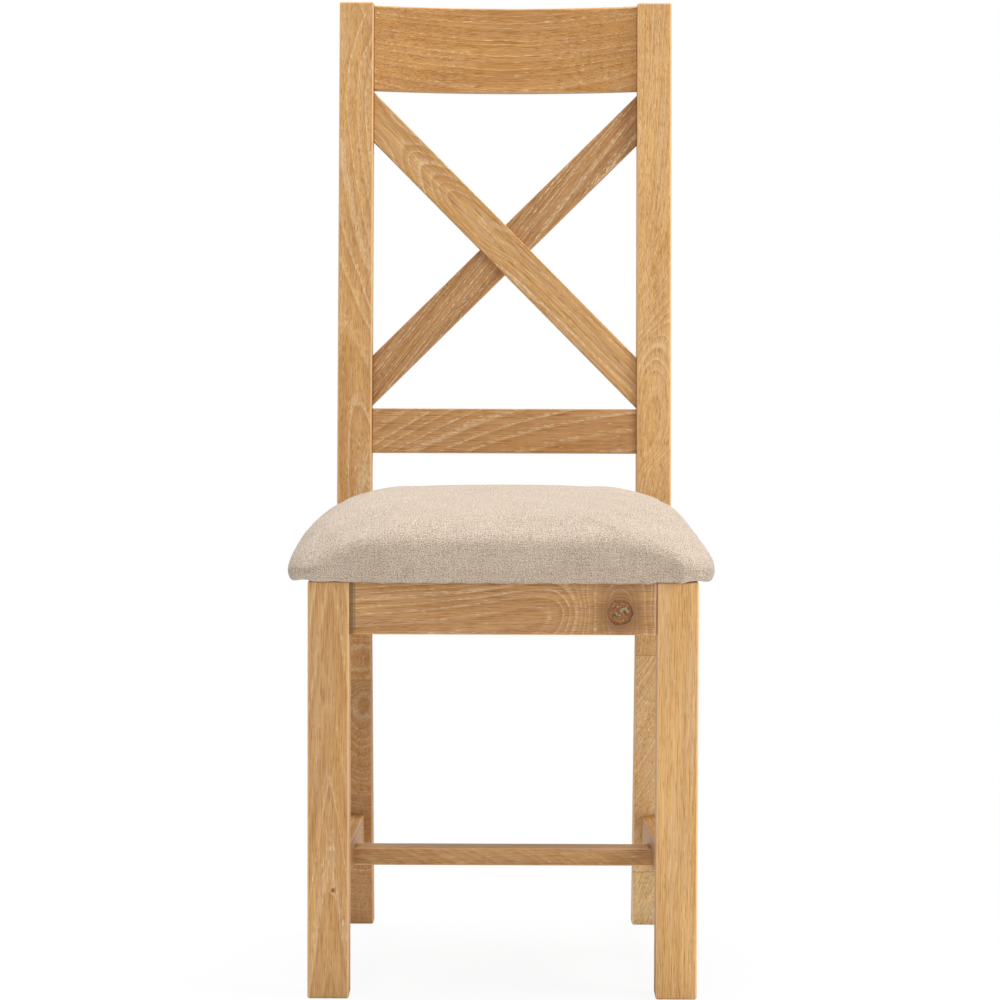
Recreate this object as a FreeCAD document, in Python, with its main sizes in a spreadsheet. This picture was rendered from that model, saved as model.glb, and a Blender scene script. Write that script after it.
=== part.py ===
import FreeCAD, Part

import math
import os

import Sketcher
from FreeCAD import Placement, Rotation, Vector

# An oak dining chair with a cross in its back and an upholstered seat pad.
# Millimetres, +Z up, +Y towards the back of the chair, origin on the floor
# under the middle of the chair. The front legs are square. Each back leg and
# back post is one timber: its foot kicks back, it stands upright where the
# seat rails meet it, and it leans back above the seat.

doc = FreeCAD.newDocument("cross_back_chair")
sheet = doc.addObject("Spreadsheet::Sheet", "dims")

DIMENSIONS = {
    # Front legs
    "leg_size": 44,
    "leg_half_span": 207,
    "leg_front": -245,
    "leg_height": 445,
    "leg_edge": 2.5,
    # Back posts, seen from the side
    "post_width": 40,
    "post_half_span": 194,
    "post_height": 1091,
    "post_foot_front": 226,
    "post_foot_depth": 34,
    "post_seat_front": 131,
    "post_seat_depth": 42,
    "post_top_front": 193.5,
    "post_top_depth": 28,
    "post_lower_knee": 380,
    "post_upper_knee": 455,
    "post_knee_radius": 60,
    "post_edge": 2.5,
    # Seat rails
    "rail_height": 56.5,
    "rail_thickness": 22,
    "rail_recess": 1.5,
    "rail_side_set": 3,
    "rail_rear_set": 8,
    "rail_edge": 1.5,
    # Stretchers
    "stretcher_thickness": 20,
    "stretcher_height": 35,
    "stretcher_base": 101,
    "stretcher_edge": 2,
    "cross_depth": 36,
    "cross_height": 20,
    "cross_front": 29,
    # Back, heights measured along the lean from the upper knee
    "crest_base": 537.5,
    "crest_height": 98.7,
    "crest_thickness": 20,
    "crest_set": 2,
    "crest_bow": 22,
    "crest_edge": 2.5,
    "lower_rail_base": 112.4,
    "lower_rail_height": 51.1,
    "lower_rail_thickness": 20,
    "lower_rail_set": 5,
    "slat_centre": 350,
    "slat_front_angle": 45.3,
    "slat_rear_angle": 44.85,
    "slat_width": 41,
    "slat_thickness": 14,
    "slat_front_set": 7,
    "slat_rear_set": 13,
    "slat_edge": 1.5,
    # Stub tenons and the play around them
    "tenon_depth": 16,
    "tenon_bed": 10,
    "cross_tenon_depth": 9,
    "tenon_play": 0.2,
    "rail_tenon_shoulder": 8,
    "stretcher_tenon_shoulder": 6,
    "crest_tenon_shoulder": 13,
    "crest_tenon_set": 1,
    "slat_tenon_shoulder": 2.5,
    "slat_tenon_depth": 14,
    # Corner blocks and seat screws
    "block_reach": 48,
    "block_height": 38,
    "block_drop": 2,
    "block_play": 0.1,
    "screw_inset": 9.6,
    "screw_radius": 2,
    "screw_length": 52,
    "screw_head_radius": 4.2,
    "screw_head_height": 2.6,
    "screw_play": 0.2,
    # Seat pad
    "pad_front": -259.5,
    "pad_rear": 170,
    "pad_half_front": 226,
    "pad_half_rear": 212,
    "pad_belly": 458,
    "pad_roll": 12,
    "pad_crown": 77,
    "pad_dome": 160,
    "pad_dome_power": 0.72,
    "pad_front_reach": 204,
    "pad_front_power": 4.5,
    "pad_rear_reach": 150,
    "pad_rear_power": 3,
    "pad_corner": 36,
    "pad_corner_swell": 45,
    "pad_draw": 2.5,
    "pad_gap": 2,
    "notch_overrun": 60,
    "cloth_thickness": 2,
    "cloth_turn": 30,
    "dust_cloth_thickness": 0.8,
    "dust_cloth_inset": 20,
    "board_thickness": 12,
    "board_inset": 15,
}

# The pad's side profile, in steps of turn away from its upright belly. The
# lower edge rolls under in a quarter of an ellipse, and the crown closes in.
ROLL_STEPS = (90, 60, 30, 0)
CROWN_STEPS = (0, 10, 20, 30, 40, 50, 60, 70, 80)

LEFT, RIGHT = -1, 1
SIDE_NAMES = {LEFT: "left", RIGHT: "right"}


class Size:
    """A length with its value now and the sheet expression that it is bound by."""

    def __init__(self, value, text):
        self.value = value
        self.text = text

    def join(self, other, sign, result):
        return Size(result, f"({self.text} {sign} {as_size(other).text})")

    def __add__(self, other):
        return self.join(other, "+", self.value + as_size(other).value)

    def __sub__(self, other):
        return self.join(other, "-", self.value - as_size(other).value)

    def __mul__(self, other):
        return self.join(other, "*", self.value * as_size(other).value)

    def __truediv__(self, other):
        return self.join(other, "/", self.value / as_size(other).value)

    def __neg__(self):
        return self * -1


def as_size(number):
    return number if isinstance(number, Size) else Size(number, repr(number))


def fill_sheet():
    for row, (alias, number) in enumerate(DIMENSIONS.items(), start=1):
        sheet.set(f"A{row}", alias)
        sheet.set(f"B{row}", str(number))
        sheet.setAlias(f"B{row}", alias)
    doc.recompute()


def dim(alias):
    return Size(float(sheet.get(alias)), f"dims.{alias}")


def bind(feature, name, size):
    feature.setExpression(name, as_size(size).text)


def set_position(feature, x, y, z):
    for axis, size in zip("xyz", (x, y, z)):
        bind(feature, f"Placement.Base.{axis}", size)


# Sketches and solids


def plane_of(body, role):
    return next(plane for plane in body.Origin.OriginFeatures if plane.Role == role)


def new_body(label):
    body = doc.addObject("PartDesign::Body", label)
    body.Label = label
    return body


def outline_sketch(body, name, role, points, offset=None):
    """A closed outline through points whose coordinates are held by the sheet."""
    sketch = body.newObject("Sketcher::SketchObject", name)
    sketch.AttachmentSupport = [(plane_of(body, role), "")]
    sketch.MapMode = "FlatFace"
    if offset is not None:
        bind(sketch, "AttachmentOffset.Base.z", offset)
    corners = [Vector(as_size(x).value, as_size(y).value, 0) for x, y in points]
    count = len(corners)
    for index in range(count):
        sketch.addGeometry(Part.LineSegment(corners[index], corners[(index + 1) % count]))
    for index in range(count):
        sketch.addConstraint(Sketcher.Constraint("Coincident", index, 2, (index + 1) % count, 1))
    for index, (x, y) in enumerate(points):
        for kind, size in (("DistanceX", x), ("DistanceY", y)):
            number = sketch.addConstraint(Sketcher.Constraint(kind, index, 1, as_size(size).value))
            bind(sketch, f"Constraints[{number}]", size)
    return sketch


def rectangle(width, height):
    """Corners of a rectangle about the origin."""
    half_width, half_height = width / 2, height / 2
    return [(-half_width, -half_height), (half_width, -half_height),
            (half_width, half_height), (-half_width, half_height)]


def pad_sketch(body, sketch, length, symmetric=False):
    pad = body.newObject("PartDesign::Pad", sketch.Name + "_pad")
    pad.Profile = sketch
    pad.Midplane = symmetric
    bind(pad, "Length", length)
    doc.recompute()
    return pad


def edges_along(feature, direction, wanted=lambda middle: True):
    """Names of the straight edges that run along a direction and pass a test."""
    names = []
    for number, edge in enumerate(feature.Shape.Edges, start=1):
        start, end = edge.Vertexes[0].Point, edge.Vertexes[-1].Point
        run = end - start
        straight = abs(run.Length - edge.Length) < 1e-4
        if straight and run.Length > 1e-6 and abs(abs(run.normalize() * direction) - 1) < 1e-3:
            if wanted(edge.CenterOfMass):
                names.append(f"Edge{number}")
    return names


def round_edges(body, feature, names, radius):
    fillet = body.newObject("PartDesign::Fillet", feature.Name + "_round")
    fillet.Base = (feature, names)
    fillet.UseAllEdges = not names
    bind(fillet, "Radius", radius)
    doc.recompute()
    return fillet


def box(label, length, width, height, placement):
    """A box centred on its placement."""
    solid = doc.addObject("Part::Box", label)
    for name, size in (("Length", length), ("Width", width), ("Height", height)):
        bind(solid, name, size)
    corner = Vector(*(-as_size(size).value / 2 for size in (length, width, height)))
    solid.Placement = placement.multiply(Placement(corner, Rotation()))
    return solid


def joined(kind, label, shapes):
    """A fusion or a loose group of several solids."""
    group = doc.addObject(kind, label)
    if kind == "Part::Compound":
        group.Links = shapes
    else:
        group.Shapes = shapes
    return group


def cut(label, base, tool):
    result = doc.addObject("Part::Cut", label)
    result.Base = base
    result.Tool = tool
    result.Label = label
    return result


fill_sheet()

leg_size, leg_front = dim("leg_size"), dim("leg_front")
leg_half_span = dim("leg_half_span")
post_width, post_half_span = dim("post_width"), dim("post_half_span")
rail_top = dim("leg_height")
rail_height, rail_thickness = dim("rail_height"), dim("rail_thickness")
rail_middle = rail_top - rail_height / 2
tenon_depth, tenon_bed, tenon_play = dim("tenon_depth"), dim("tenon_bed"), dim("tenon_play")

leg_rear = leg_front + leg_size
leg_inner = leg_half_span - leg_size
post_inner = post_half_span - post_width
post_front = dim("post_seat_front")

# Each mortise is kept here under the timber that it is cut into.
mortises = {}


# Uprights


def front_leg_blank(side):
    """A square leg with all its edges eased."""
    body = new_body(f"front_leg_{SIDE_NAMES[side]}_blank")
    sketch = outline_sketch(body, body.Name + "_section", "XY_Plane", rectangle(leg_size, leg_size))
    stem = pad_sketch(body, sketch, dim("leg_height"))
    round_edges(body, stem, [], dim("leg_edge"))
    set_position(body, (leg_half_span - leg_size / 2) * side, leg_front + leg_size / 2, 0)
    return body


def back_post_blank(side):
    """One timber from foot to top, bent at two knees above and below the seat rails."""
    body = new_body(f"back_post_{SIDE_NAMES[side]}_blank")
    foot, top = dim("post_foot_front"), dim("post_top_front")
    lower, upper = dim("post_lower_knee"), dim("post_upper_knee")
    seat_rear = post_front + dim("post_seat_depth")
    profile = [
        (foot, 0),
        (foot + dim("post_foot_depth"), 0),
        (seat_rear, lower),
        (seat_rear, upper),
        (top + dim("post_top_depth"), dim("post_height")),
        (top, dim("post_height")),
        (post_front, upper),
        (post_front, lower),
    ]
    sketch = outline_sketch(body, body.Name + "_profile", "YZ_Plane", profile)
    timber = pad_sketch(body, sketch, post_width, symmetric=True)
    at_knee = edges_along(timber, Vector(1, 0, 0),
                          lambda middle: lower.value - 1 < middle.z < upper.value + 1)
    bent = round_edges(body, timber, at_knee, dim("post_knee_radius"))
    round_edges(body, bent, [], dim("post_edge"))
    set_position(body, (post_half_span - post_width / 2) * side, 0, 0)
    return body


blanks = {}
for side in (LEFT, RIGHT):
    blanks[f"front_leg_{SIDE_NAMES[side]}"] = front_leg_blank(side)
    blanks[f"back_post_{SIDE_NAMES[side]}"] = back_post_blank(side)
uprights = joined("Part::Compound", "uprights", list(blanks.values()))


# Boards that are tenoned into the uprights


def board_blank(label, length, thickness, height, edge, placement):
    """A straight board along its own X axis, thickness along Y, with its long edges eased."""
    body = new_body(label + "_board")
    sketch = outline_sketch(body, body.Name + "_section", "YZ_Plane", rectangle(thickness, height))
    plank = pad_sketch(body, sketch, length, symmetric=True)
    round_edges(body, plank, edges_along(plank, Vector(1, 0, 0)), edge)
    body.Placement = placement
    return body


def stub_tenon(label, host, depth, bed, thickness, height, placement):
    """A tenon whose shoulder is at the placement, pointing along its +X, and its mortise in host."""
    middle = (depth.value - bed.value) / 2
    tongue = box(label, depth + bed, thickness, height,
                 placement.multiply(Placement(Vector(middle, 0, 0), Rotation())))
    play = tenon_play * 2
    pocket = box(label + "_mortise", depth + bed + play, thickness + play, height + play,
                 placement.multiply(Placement(Vector(middle, 0, 0), Rotation())))
    mortises.setdefault(host, []).append(pocket)
    return tongue


def tenoned(label, blank, obstacle, tenons):
    """The board, cut to its shoulders where it meets its hosts, with its tenons."""
    shouldered = cut(label + "_shouldered", blank, obstacle)
    board = joined("Part::MultiFuse", label, [shouldered] + tenons)
    board.Label = label
    return board


def mirrored_turn(side):
    """Points a tenon's +X to the left or the right."""
    return Rotation(Vector(0, 0, 1), 180 if side == LEFT else 0)


def level_rail(label, y, z, thickness, height, half_gap, hosts, edge, tenon_height):
    """A straight board across the chair between a pair of uprights."""
    placement = Placement(Vector(0, y.value, z.value), Rotation())
    blank = board_blank(label, (half_gap + tenon_bed) * 2, thickness, height, edge, placement)
    tenons = []
    for side in (LEFT, RIGHT):
        shoulder = Placement(Vector(side * half_gap.value, y.value, z.value), mirrored_turn(side))
        tenons.append(stub_tenon(f"{label}_tenon_{SIDE_NAMES[side]}", f"{hosts}_{SIDE_NAMES[side]}",
                                 tenon_depth, tenon_bed, thickness / 2, tenon_height, shoulder))
    return tenoned(label, blank, uprights, tenons)


def side_board(name, side, front_x, rear_x, rear_y, z, thickness, height, edge, tenon_height):
    """A board from a front leg to a back post, drawn in towards the back."""
    label = f"{name}_{SIDE_NAMES[side]}"
    front = Vector(side * front_x.value, leg_rear.value, z.value)
    rear = Vector(side * rear_x.value, rear_y.value, z.value)
    run = rear - front
    turn = Rotation(Vector(0, 0, 1), math.degrees(math.atan2(run.y, run.x)))
    middle = (front + rear) * 0.5
    reach = as_size(round(run.Length, 3)) + tenon_bed * 2
    blank = board_blank(label, reach, thickness, height, edge, Placement(middle, turn))
    back_turn = turn.multiply(Rotation(Vector(0, 0, 1), 180))
    tenons = [
        stub_tenon(label + "_tenon_front", f"front_leg_{SIDE_NAMES[side]}", tenon_depth,
                   tenon_bed, thickness / 2, tenon_height, Placement(front, back_turn)),
        stub_tenon(label + "_tenon_rear", f"back_post_{SIDE_NAMES[side]}", tenon_depth,
                   tenon_bed, thickness / 2, tenon_height, Placement(rear, turn)),
    ]
    return blank, tenons


rail_tenon_height = rail_height - dim("rail_tenon_shoulder") * 2
stretcher_shoulder = dim("stretcher_tenon_shoulder")
stretcher_tenon_height = dim("stretcher_height") - stretcher_shoulder * 2

front_rail_y = leg_front + dim("rail_recess") + rail_thickness / 2
front_rail = level_rail("front_rail", front_rail_y, rail_middle, rail_thickness, rail_height,
                        leg_inner, "front_leg", dim("rail_edge"), rail_tenon_height)

rear_rail_y = post_front + dim("rail_rear_set") + rail_thickness / 2
rear_rail = level_rail("rear_rail", rear_rail_y, rail_middle, rail_thickness, rail_height,
                       post_inner, "back_post", dim("rail_edge"), rail_tenon_height)

side_rail_front_x = leg_half_span - dim("rail_side_set") - rail_thickness / 2
side_rail_rear_x = post_half_span - dim("rail_side_set") - rail_thickness / 2
side_rails = {}
for side in (LEFT, RIGHT):
    blank, tenons = side_board("side_rail", side, side_rail_front_x, side_rail_rear_x,
                               post_front, rail_middle, rail_thickness, rail_height,
                               dim("rail_edge"), rail_tenon_height)
    side_rails[side] = tenoned(f"side_rail_{SIDE_NAMES[side]}", blank, uprights, tenons)


# Stretchers: one low board at each side and a flatter one across between them

stretcher_height, stretcher_base = dim("stretcher_height"), dim("stretcher_base")
stretcher_middle = stretcher_base + stretcher_height / 2
stretcher_thickness = dim("stretcher_thickness")
kick = (dim("post_foot_front") - post_front) / dim("post_lower_knee")
stretcher_rear_y = dim("post_foot_front") - kick * stretcher_middle
stretcher_front_x = leg_half_span - leg_size / 2
stretcher_rear_x = post_half_span - post_width / 2
stretcher_boards = {}
stretcher_tenons = {}
for side in (LEFT, RIGHT):
    stretcher_boards[side], stretcher_tenons[side] = side_board(
        "side_stretcher", side, stretcher_front_x, stretcher_rear_x, stretcher_rear_y,
        stretcher_middle, stretcher_thickness, stretcher_height, dim("stretcher_edge"),
        stretcher_tenon_height)


def cross_stretcher():
    """The board across, low between the side stretchers, its underside level with theirs."""
    label = "cross_stretcher"
    depth, height = dim("cross_depth"), dim("cross_height")
    y = dim("cross_front") + depth / 2
    z = stretcher_base + height / 2
    along = (y.value - leg_rear.value) / (stretcher_rear_y.value - leg_rear.value)
    centre_x = stretcher_front_x.value + along * (stretcher_rear_x.value - stretcher_front_x.value)
    half_gap = as_size(round(centre_x - stretcher_thickness.value / 2, 3))
    blank = board_blank(label, (half_gap + tenon_bed) * 2, depth, height, dim("stretcher_edge"),
                        Placement(Vector(0, y.value, z.value), Rotation()))
    tenons = []
    for side in (LEFT, RIGHT):
        shoulder = Placement(Vector(side * half_gap.value, y.value, z.value), mirrored_turn(side))
        tenons.append(stub_tenon(f"{label}_tenon_{SIDE_NAMES[side]}",
                                 f"side_stretcher_{SIDE_NAMES[side]}", dim("cross_tenon_depth"),
                                 tenon_bed, depth - stretcher_shoulder * 2, height / 2,
                                 shoulder))
    sides = joined("Part::Compound", "side_stretcher_boards", list(stretcher_boards.values()))
    return tenoned(label, blank, sides, tenons)


cross_stretcher()
for side in (LEFT, RIGHT):
    label = f"side_stretcher_{SIDE_NAMES[side]}"
    whole = tenoned(label + "_whole", stretcher_boards[side], uprights, stretcher_tenons[side])
    cut(label, whole, joined("Part::Compound", label + "_mortises", mortises[label]))


# The back, drawn in the leaning plane of the posts' front faces

lean = math.degrees(math.atan2(dim("post_top_front").value - post_front.value,
                               dim("post_height").value - dim("post_upper_knee").value))
back_plane = Placement(Vector(0, post_front.value, dim("post_upper_knee").value),
                       Rotation(Vector(1, 0, 0), -lean))


def in_back(x, depth, rise, turn=None):
    """A placement in the back's plane: across, behind the posts' fronts, and up the lean."""
    return back_plane.multiply(Placement(Vector(x, depth, rise), turn or Rotation()))


def back_tenons(label, depth, rise, thickness, height):
    """A pair of stub tenons into the posts at one depth and height."""
    return [stub_tenon(f"{label}_tenon_{SIDE_NAMES[side]}", f"back_post_{SIDE_NAMES[side]}",
                       tenon_depth, tenon_bed, thickness, height,
                       in_back(side * post_inner.value, depth, rise, mirrored_turn(side)))
            for side in (LEFT, RIGHT)]


def bowed_section(body, half_width, thickness, bow):
    """The crest rail seen from above: two arcs about one centre, hollow towards the sitter."""
    front_radius = (half_width.value ** 2 + bow.value ** 2) / (2 * bow.value)
    centre_y = bow.value - front_radius
    sketch = body.newObject("Sketcher::SketchObject", body.Name + "_plan")
    sketch.AttachmentSupport = [(plane_of(body, "XY_Plane"), "")]
    sketch.MapMode = "FlatFace"
    centre = Vector(0, centre_y, 0)
    radii = (front_radius, front_radius + thickness.value)
    ends = []
    for radius in radii:
        half_angle = math.asin(half_width.value / radius)
        circle = Part.Circle(centre, Vector(0, 0, 1), radius)
        sketch.addGeometry(Part.ArcOfCircle(circle, math.pi / 2 - half_angle,
                                            math.pi / 2 + half_angle))
        height = centre_y + radius * math.cos(half_angle)
        ends.append((Vector(half_width.value, height, 0), Vector(-half_width.value, height, 0)))
    for inner, outer in zip(ends[0], ends[1]):
        sketch.addGeometry(Part.LineSegment(inner, outer))
    for line, end in ((2, 1), (3, 2)):
        sketch.addConstraint(Sketcher.Constraint("Coincident", line, 1, 0, end))
        sketch.addConstraint(Sketcher.Constraint("Coincident", line, 2, 1, end))
    square = half_width * half_width + bow * bow
    radius_size = square / (bow * 2)
    rules = (("DistanceX", (0, 3), 0), ("DistanceX", (1, 3), 0),
             ("DistanceY", (0, 3), bow - radius_size), ("DistanceY", (1, 3), bow - radius_size),
             ("Radius", (0,), radius_size), ("Radius", (1,), radius_size + thickness),
             ("DistanceX", (0, 1), half_width), ("DistanceX", (1, 1), half_width),
             ("DistanceX", (0, 2), -half_width), ("DistanceX", (1, 2), -half_width))
    for kind, place, size in rules:
        number = sketch.addConstraint(Sketcher.Constraint(kind, *place, as_size(size).value))
        bind(sketch, f"Constraints[{number}]", size)
    return sketch


def crest_rail():
    """The deep top rail, bowed backwards between the posts."""
    label = "crest_rail"
    height, thickness = dim("crest_height"), dim("crest_thickness")
    body = new_body(label + "_board")
    half_width = post_inner + tenon_bed
    sketch = bowed_section(body, half_width, thickness, dim("crest_bow"))
    plank = pad_sketch(body, sketch, height)
    top_and_bottom = [f"Edge{number}" for number, edge in enumerate(plank.Shape.Edges, start=1)
                      if edge.Length > half_width.value]
    round_edges(body, plank, top_and_bottom, dim("crest_edge"))
    body.Placement = in_back(0, dim("crest_set").value, dim("crest_base").value)
    middle = dim("crest_base").value + height.value / 2
    tenon_set = dim("crest_tenon_set")
    depth = dim("crest_set").value + thickness.value / 2 + tenon_set.value
    tenons = back_tenons(label, depth, middle, thickness / 2 - tenon_set,
                         height - dim("crest_tenon_shoulder") * 2)
    return tenoned(label, body, uprights, tenons)


def lower_back_rail():
    """The straight rail low in the back, above the seat pad."""
    label = "lower_back_rail"
    height, thickness = dim("lower_rail_height"), dim("lower_rail_thickness")
    middle = dim("lower_rail_base").value + height.value / 2
    depth = dim("lower_rail_set").value + thickness.value / 2
    blank = board_blank(label, (post_inner + tenon_bed) * 2, thickness, height,
                        dim("rail_edge"), in_back(0, depth, middle))
    tenons = back_tenons(label, depth, middle, thickness / 2,
                         height - dim("rail_tenon_shoulder") * 2)
    return tenoned(label, blank, uprights, tenons)


crest_rail()
lower_back_rail()


# The cross: two slats from corner to corner, halved where they meet

slat_width, slat_thickness = dim("slat_width"), dim("slat_thickness")
slat_centre = dim("slat_centre").value
slat_angles = {1: dim("slat_front_angle").value, -1: dim("slat_rear_angle").value}
lap_depth = (dim("slat_front_set").value + dim("slat_rear_set").value
             + slat_thickness.value) / 2


def slat_turn(direction):
    """Turns a slat about the back's depth axis; direction +1 falls to the right."""
    return Rotation(Vector(0, 1, 0), direction * slat_angles[direction])


def cross_slat(label, direction, front_set, lap_sign):
    """One slat of the cross; lap_sign says on which side of it the lap is cut."""
    depth = front_set.value + slat_thickness.value / 2
    angle = math.radians(slat_angles[direction])
    slat_rise = post_inner.value * math.tan(angle)
    length = 2 * (post_inner.value + post_width.value / 2) / math.cos(angle)
    placement = in_back(0, depth, slat_centre, slat_turn(direction))
    blank = board_blank(label, as_size(round(length, 3)), slat_thickness, slat_width,
                        dim("slat_edge"), placement)
    tenons = []
    for side in (LEFT, RIGHT):
        rise = slat_centre - direction * side * slat_rise
        shoulder = in_back(side * post_inner.value, depth, rise, mirrored_turn(side))
        tenons.append(stub_tenon(f"{label}_tenon_{SIDE_NAMES[side]}",
                                 f"back_post_{SIDE_NAMES[side]}", dim("slat_tenon_depth"),
                                 tenon_bed, slat_thickness / 2,
                                 slat_width - dim("slat_tenon_shoulder") * 2, shoulder))
    whole = tenoned(label + "_whole", blank, uprights, tenons)
    notch_thickness = slat_thickness * 2
    notch_depth = lap_depth + lap_sign * notch_thickness.value / 2
    notch = box(label + "_lap", slat_width * 6, notch_thickness, slat_width,
                in_back(0, notch_depth, slat_centre, slat_turn(-direction)))
    return cut(label, whole, notch)


cross_slat("cross_slat_front", 1, dim("slat_front_set"), 1)
cross_slat("cross_slat_rear", -1, dim("slat_rear_set"), -1)

for host, blank in blanks.items():
    cut(host, blank, joined("Part::Compound", host + "_mortises", mortises[host]))


# Corner blocks, glued into the angles of the seat frame, and the seat screws

block_reach, block_height = dim("block_reach"), dim("block_height")
block_top = rail_top - dim("block_drop")
block_base = block_top - block_height
screw_radius = dim("screw_radius")
side_run = post_front - leg_rear
side_draw = (side_rail_front_x - side_rail_rear_x) / side_run


def side_rail_inner(y):
    """Where the inner face of a side rail is at a given y."""
    face = side_rail_front_x - rail_thickness / 2 - (y - leg_rear) * side_draw
    return face - dim("block_play")


def block_outline(front):
    """Five corners: along the cross rail, over to the side rail, and around the upright."""
    if front:
        rail_face = leg_front + dim("rail_recess") + rail_thickness
        upright_face, upright_inner, inward = leg_rear, leg_inner, 1
    else:
        rail_face = post_front + dim("rail_rear_set")
        upright_face, upright_inner, inward = post_front, post_inner, -1
    far = upright_face + block_reach * inward
    return [(upright_inner, rail_face), (upright_inner - block_reach, rail_face),
            (side_rail_inner(far), far), (side_rail_inner(upright_face), upright_face),
            (upright_inner, upright_face)]


def screw_place(side, front):
    """Where a seat screw goes up, well inside a corner block."""
    upright_face, upright_inner, inward = ((leg_rear, leg_inner, 1) if front
                                           else (post_front, post_inner, -1))
    inset = dim("screw_inset")
    return (upright_inner - inset) * side, upright_face + inset * inward


def upright_rod(label, side, front, radius, height, z):
    rod = doc.addObject("Part::Cylinder", label)
    bind(rod, "Radius", radius)
    bind(rod, "Height", height)
    x, y = screw_place(side, front)
    set_position(rod, x, y, z)
    return rod


corners = [(side, front) for front in (True, False) for side in (LEFT, RIGHT)]
corner_names = {corner: f"{'front' if corner[1] else 'rear'}_{SIDE_NAMES[corner[0]]}"
                for corner in corners}
bores = {}
screws = []
for corner in corners:
    name = corner_names[corner]
    bores[corner] = upright_rod("seat_bore_" + name, *corner, screw_radius + dim("screw_play"),
                                dim("screw_length") + 1, block_base)
    shank = upright_rod("seat_shank_" + name, *corner, screw_radius, dim("screw_length"),
                        block_base)
    head = upright_rod("seat_head_" + name, *corner, dim("screw_head_radius"),
                       dim("screw_head_height"), block_base - dim("screw_head_height"))
    screws.append(joined("Part::MultiFuse", "seat_screw_" + name, [shank, head]))

for corner in corners:
    side, front = corner
    label = "corner_block_" + corner_names[corner]
    body = new_body(label + "_blank")
    points = [(x * side, y) for x, y in block_outline(front)]
    sketch = outline_sketch(body, body.Name + "_plan", "XY_Plane", points, offset=block_base)
    pad_sketch(body, sketch, block_height)
    cut(label, body, bores[corner])

joined("Part::Compound", "seat_screws", screws)
all_bores = joined("Part::Compound", "seat_bores", list(bores.values()))


# The seat pad: cloth over foam over a board, notched around the posts


def rounded_outline(insets, z, draw, corner):
    """The pad's plan with its sides, front and rear moved in, and its edges bowed inwards."""
    side_inset, front_inset, rear_inset = insets
    half_front = dim("pad_half_front").value - side_inset
    half_rear = dim("pad_half_rear").value - side_inset
    front, rear = dim("pad_front").value + front_inset, dim("pad_rear").value - rear_inset
    corners = [Vector(-half_front, front, z), Vector(half_front, front, z),
               Vector(half_rear, rear, z), Vector(-half_rear, rear, z)]
    bends = []
    for index, point in enumerate(corners):
        before = (point - corners[index - 1]).normalize()
        after = (corners[(index + 1) % 4] - point).normalize()
        half_turn = before.getAngle(after) / 2
        inward = (after - before).normalize()
        centre = point + inward * (corner / math.cos(half_turn))
        tangent = corner * math.tan(half_turn)
        bends.append((point - before * tangent, centre - inward * corner,
                      point + after * tangent, inward))
    edges = []
    middle = Vector(0, (front + rear) / 2, z)
    for index, (start, crown, end, _) in enumerate(bends):
        edges.append(Part.Arc(start, crown, end).toShape())
        following = bends[(index + 1) % 4][0]
        half_way = (end + following) * 0.5
        inward = (middle - half_way).normalize()
        edges.append(Part.Arc(end, half_way + inward * draw, following).toShape())
    return Part.Wire(edges)


def lofted_levels(levels, shrink):
    """A solid through level outlines, each given by its height, its insets and its corner."""
    draw = dim("pad_draw").value
    sections = [rounded_outline([inset + shrink for inset in insets], height, draw, corner)
                for height, insets, corner in levels]
    return Part.makeLoft(sections, True, False, False, 3)


def crowned_solid(label, shrink, base):
    """The pad from its base up to its crown, with its whole skin moved inwards by shrink.

    The sides lean in from the belly. The front stands upright, turns over a rounded edge
    and then climbs gently to the crown, and the rear is between the two.
    """
    belly, roll, crown = dim("pad_belly").value, dim("pad_roll").value, dim("pad_crown").value
    dome, power = dim("pad_dome").value, dim("pad_dome_power").value
    front_reach, front_power = dim("pad_front_reach").value, dim("pad_front_power").value
    rear_reach, rear_power = dim("pad_rear_reach").value, dim("pad_rear_power").value
    corner, swell = dim("pad_corner").value, dim("pad_corner_swell").value
    lower, upper = [], []
    for step in ROLL_STEPS:
        turn = math.radians(step)
        inset = roll * (1 - math.cos(turn))
        lower.append((belly - (belly - base) * math.sin(turn), (inset, inset, inset), corner))
    for step in CROWN_STEPS:
        turn = math.radians(step)
        rise = math.sin(turn)
        insets = (dome * (1 - math.cos(turn) ** power), front_reach * rise ** front_power,
                  rear_reach * rise ** rear_power)
        upper.append((belly + (crown - shrink) * rise, insets,
                      corner + swell * 4 * rise * (1 - rise)))
    solid = doc.addObject("Part::Feature", label)
    solid.Shape = lofted_levels(lower, shrink).fuse(lofted_levels(upper, shrink))
    return solid


def straight_solid(label, inset, base, height):
    """A flat sheet or board with the pad's outline."""
    insets = (inset, inset, inset)
    outline = rounded_outline(insets, base.value, dim("pad_draw").value, dim("pad_corner").value)
    sheet_solid = doc.addObject("Part::Feature", label)
    sheet_solid.Shape = Part.Face(outline).extrude(Vector(0, 0, height.value))
    return sheet_solid


def post_notches(label, gap):
    """Blocks that clear a gap around both posts, above the seat frame."""
    notches = []
    rear = dim("pad_rear") + dim("notch_overrun")
    for side in (LEFT, RIGHT):
        notch = doc.addObject("Part::Box", f"{label}_{SIDE_NAMES[side]}")
        bind(notch, "Length", post_half_span * 2)
        bind(notch, "Width", rear - post_front + gap)
        bind(notch, "Height", rail_top)
        inner = post_inner - gap
        near = inner if side == RIGHT else -(inner + post_half_span * 2)
        set_position(notch, near, post_front - gap, rail_top / 2)
        notches.append(notch)
    return joined("Part::Compound", label, notches)


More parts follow.
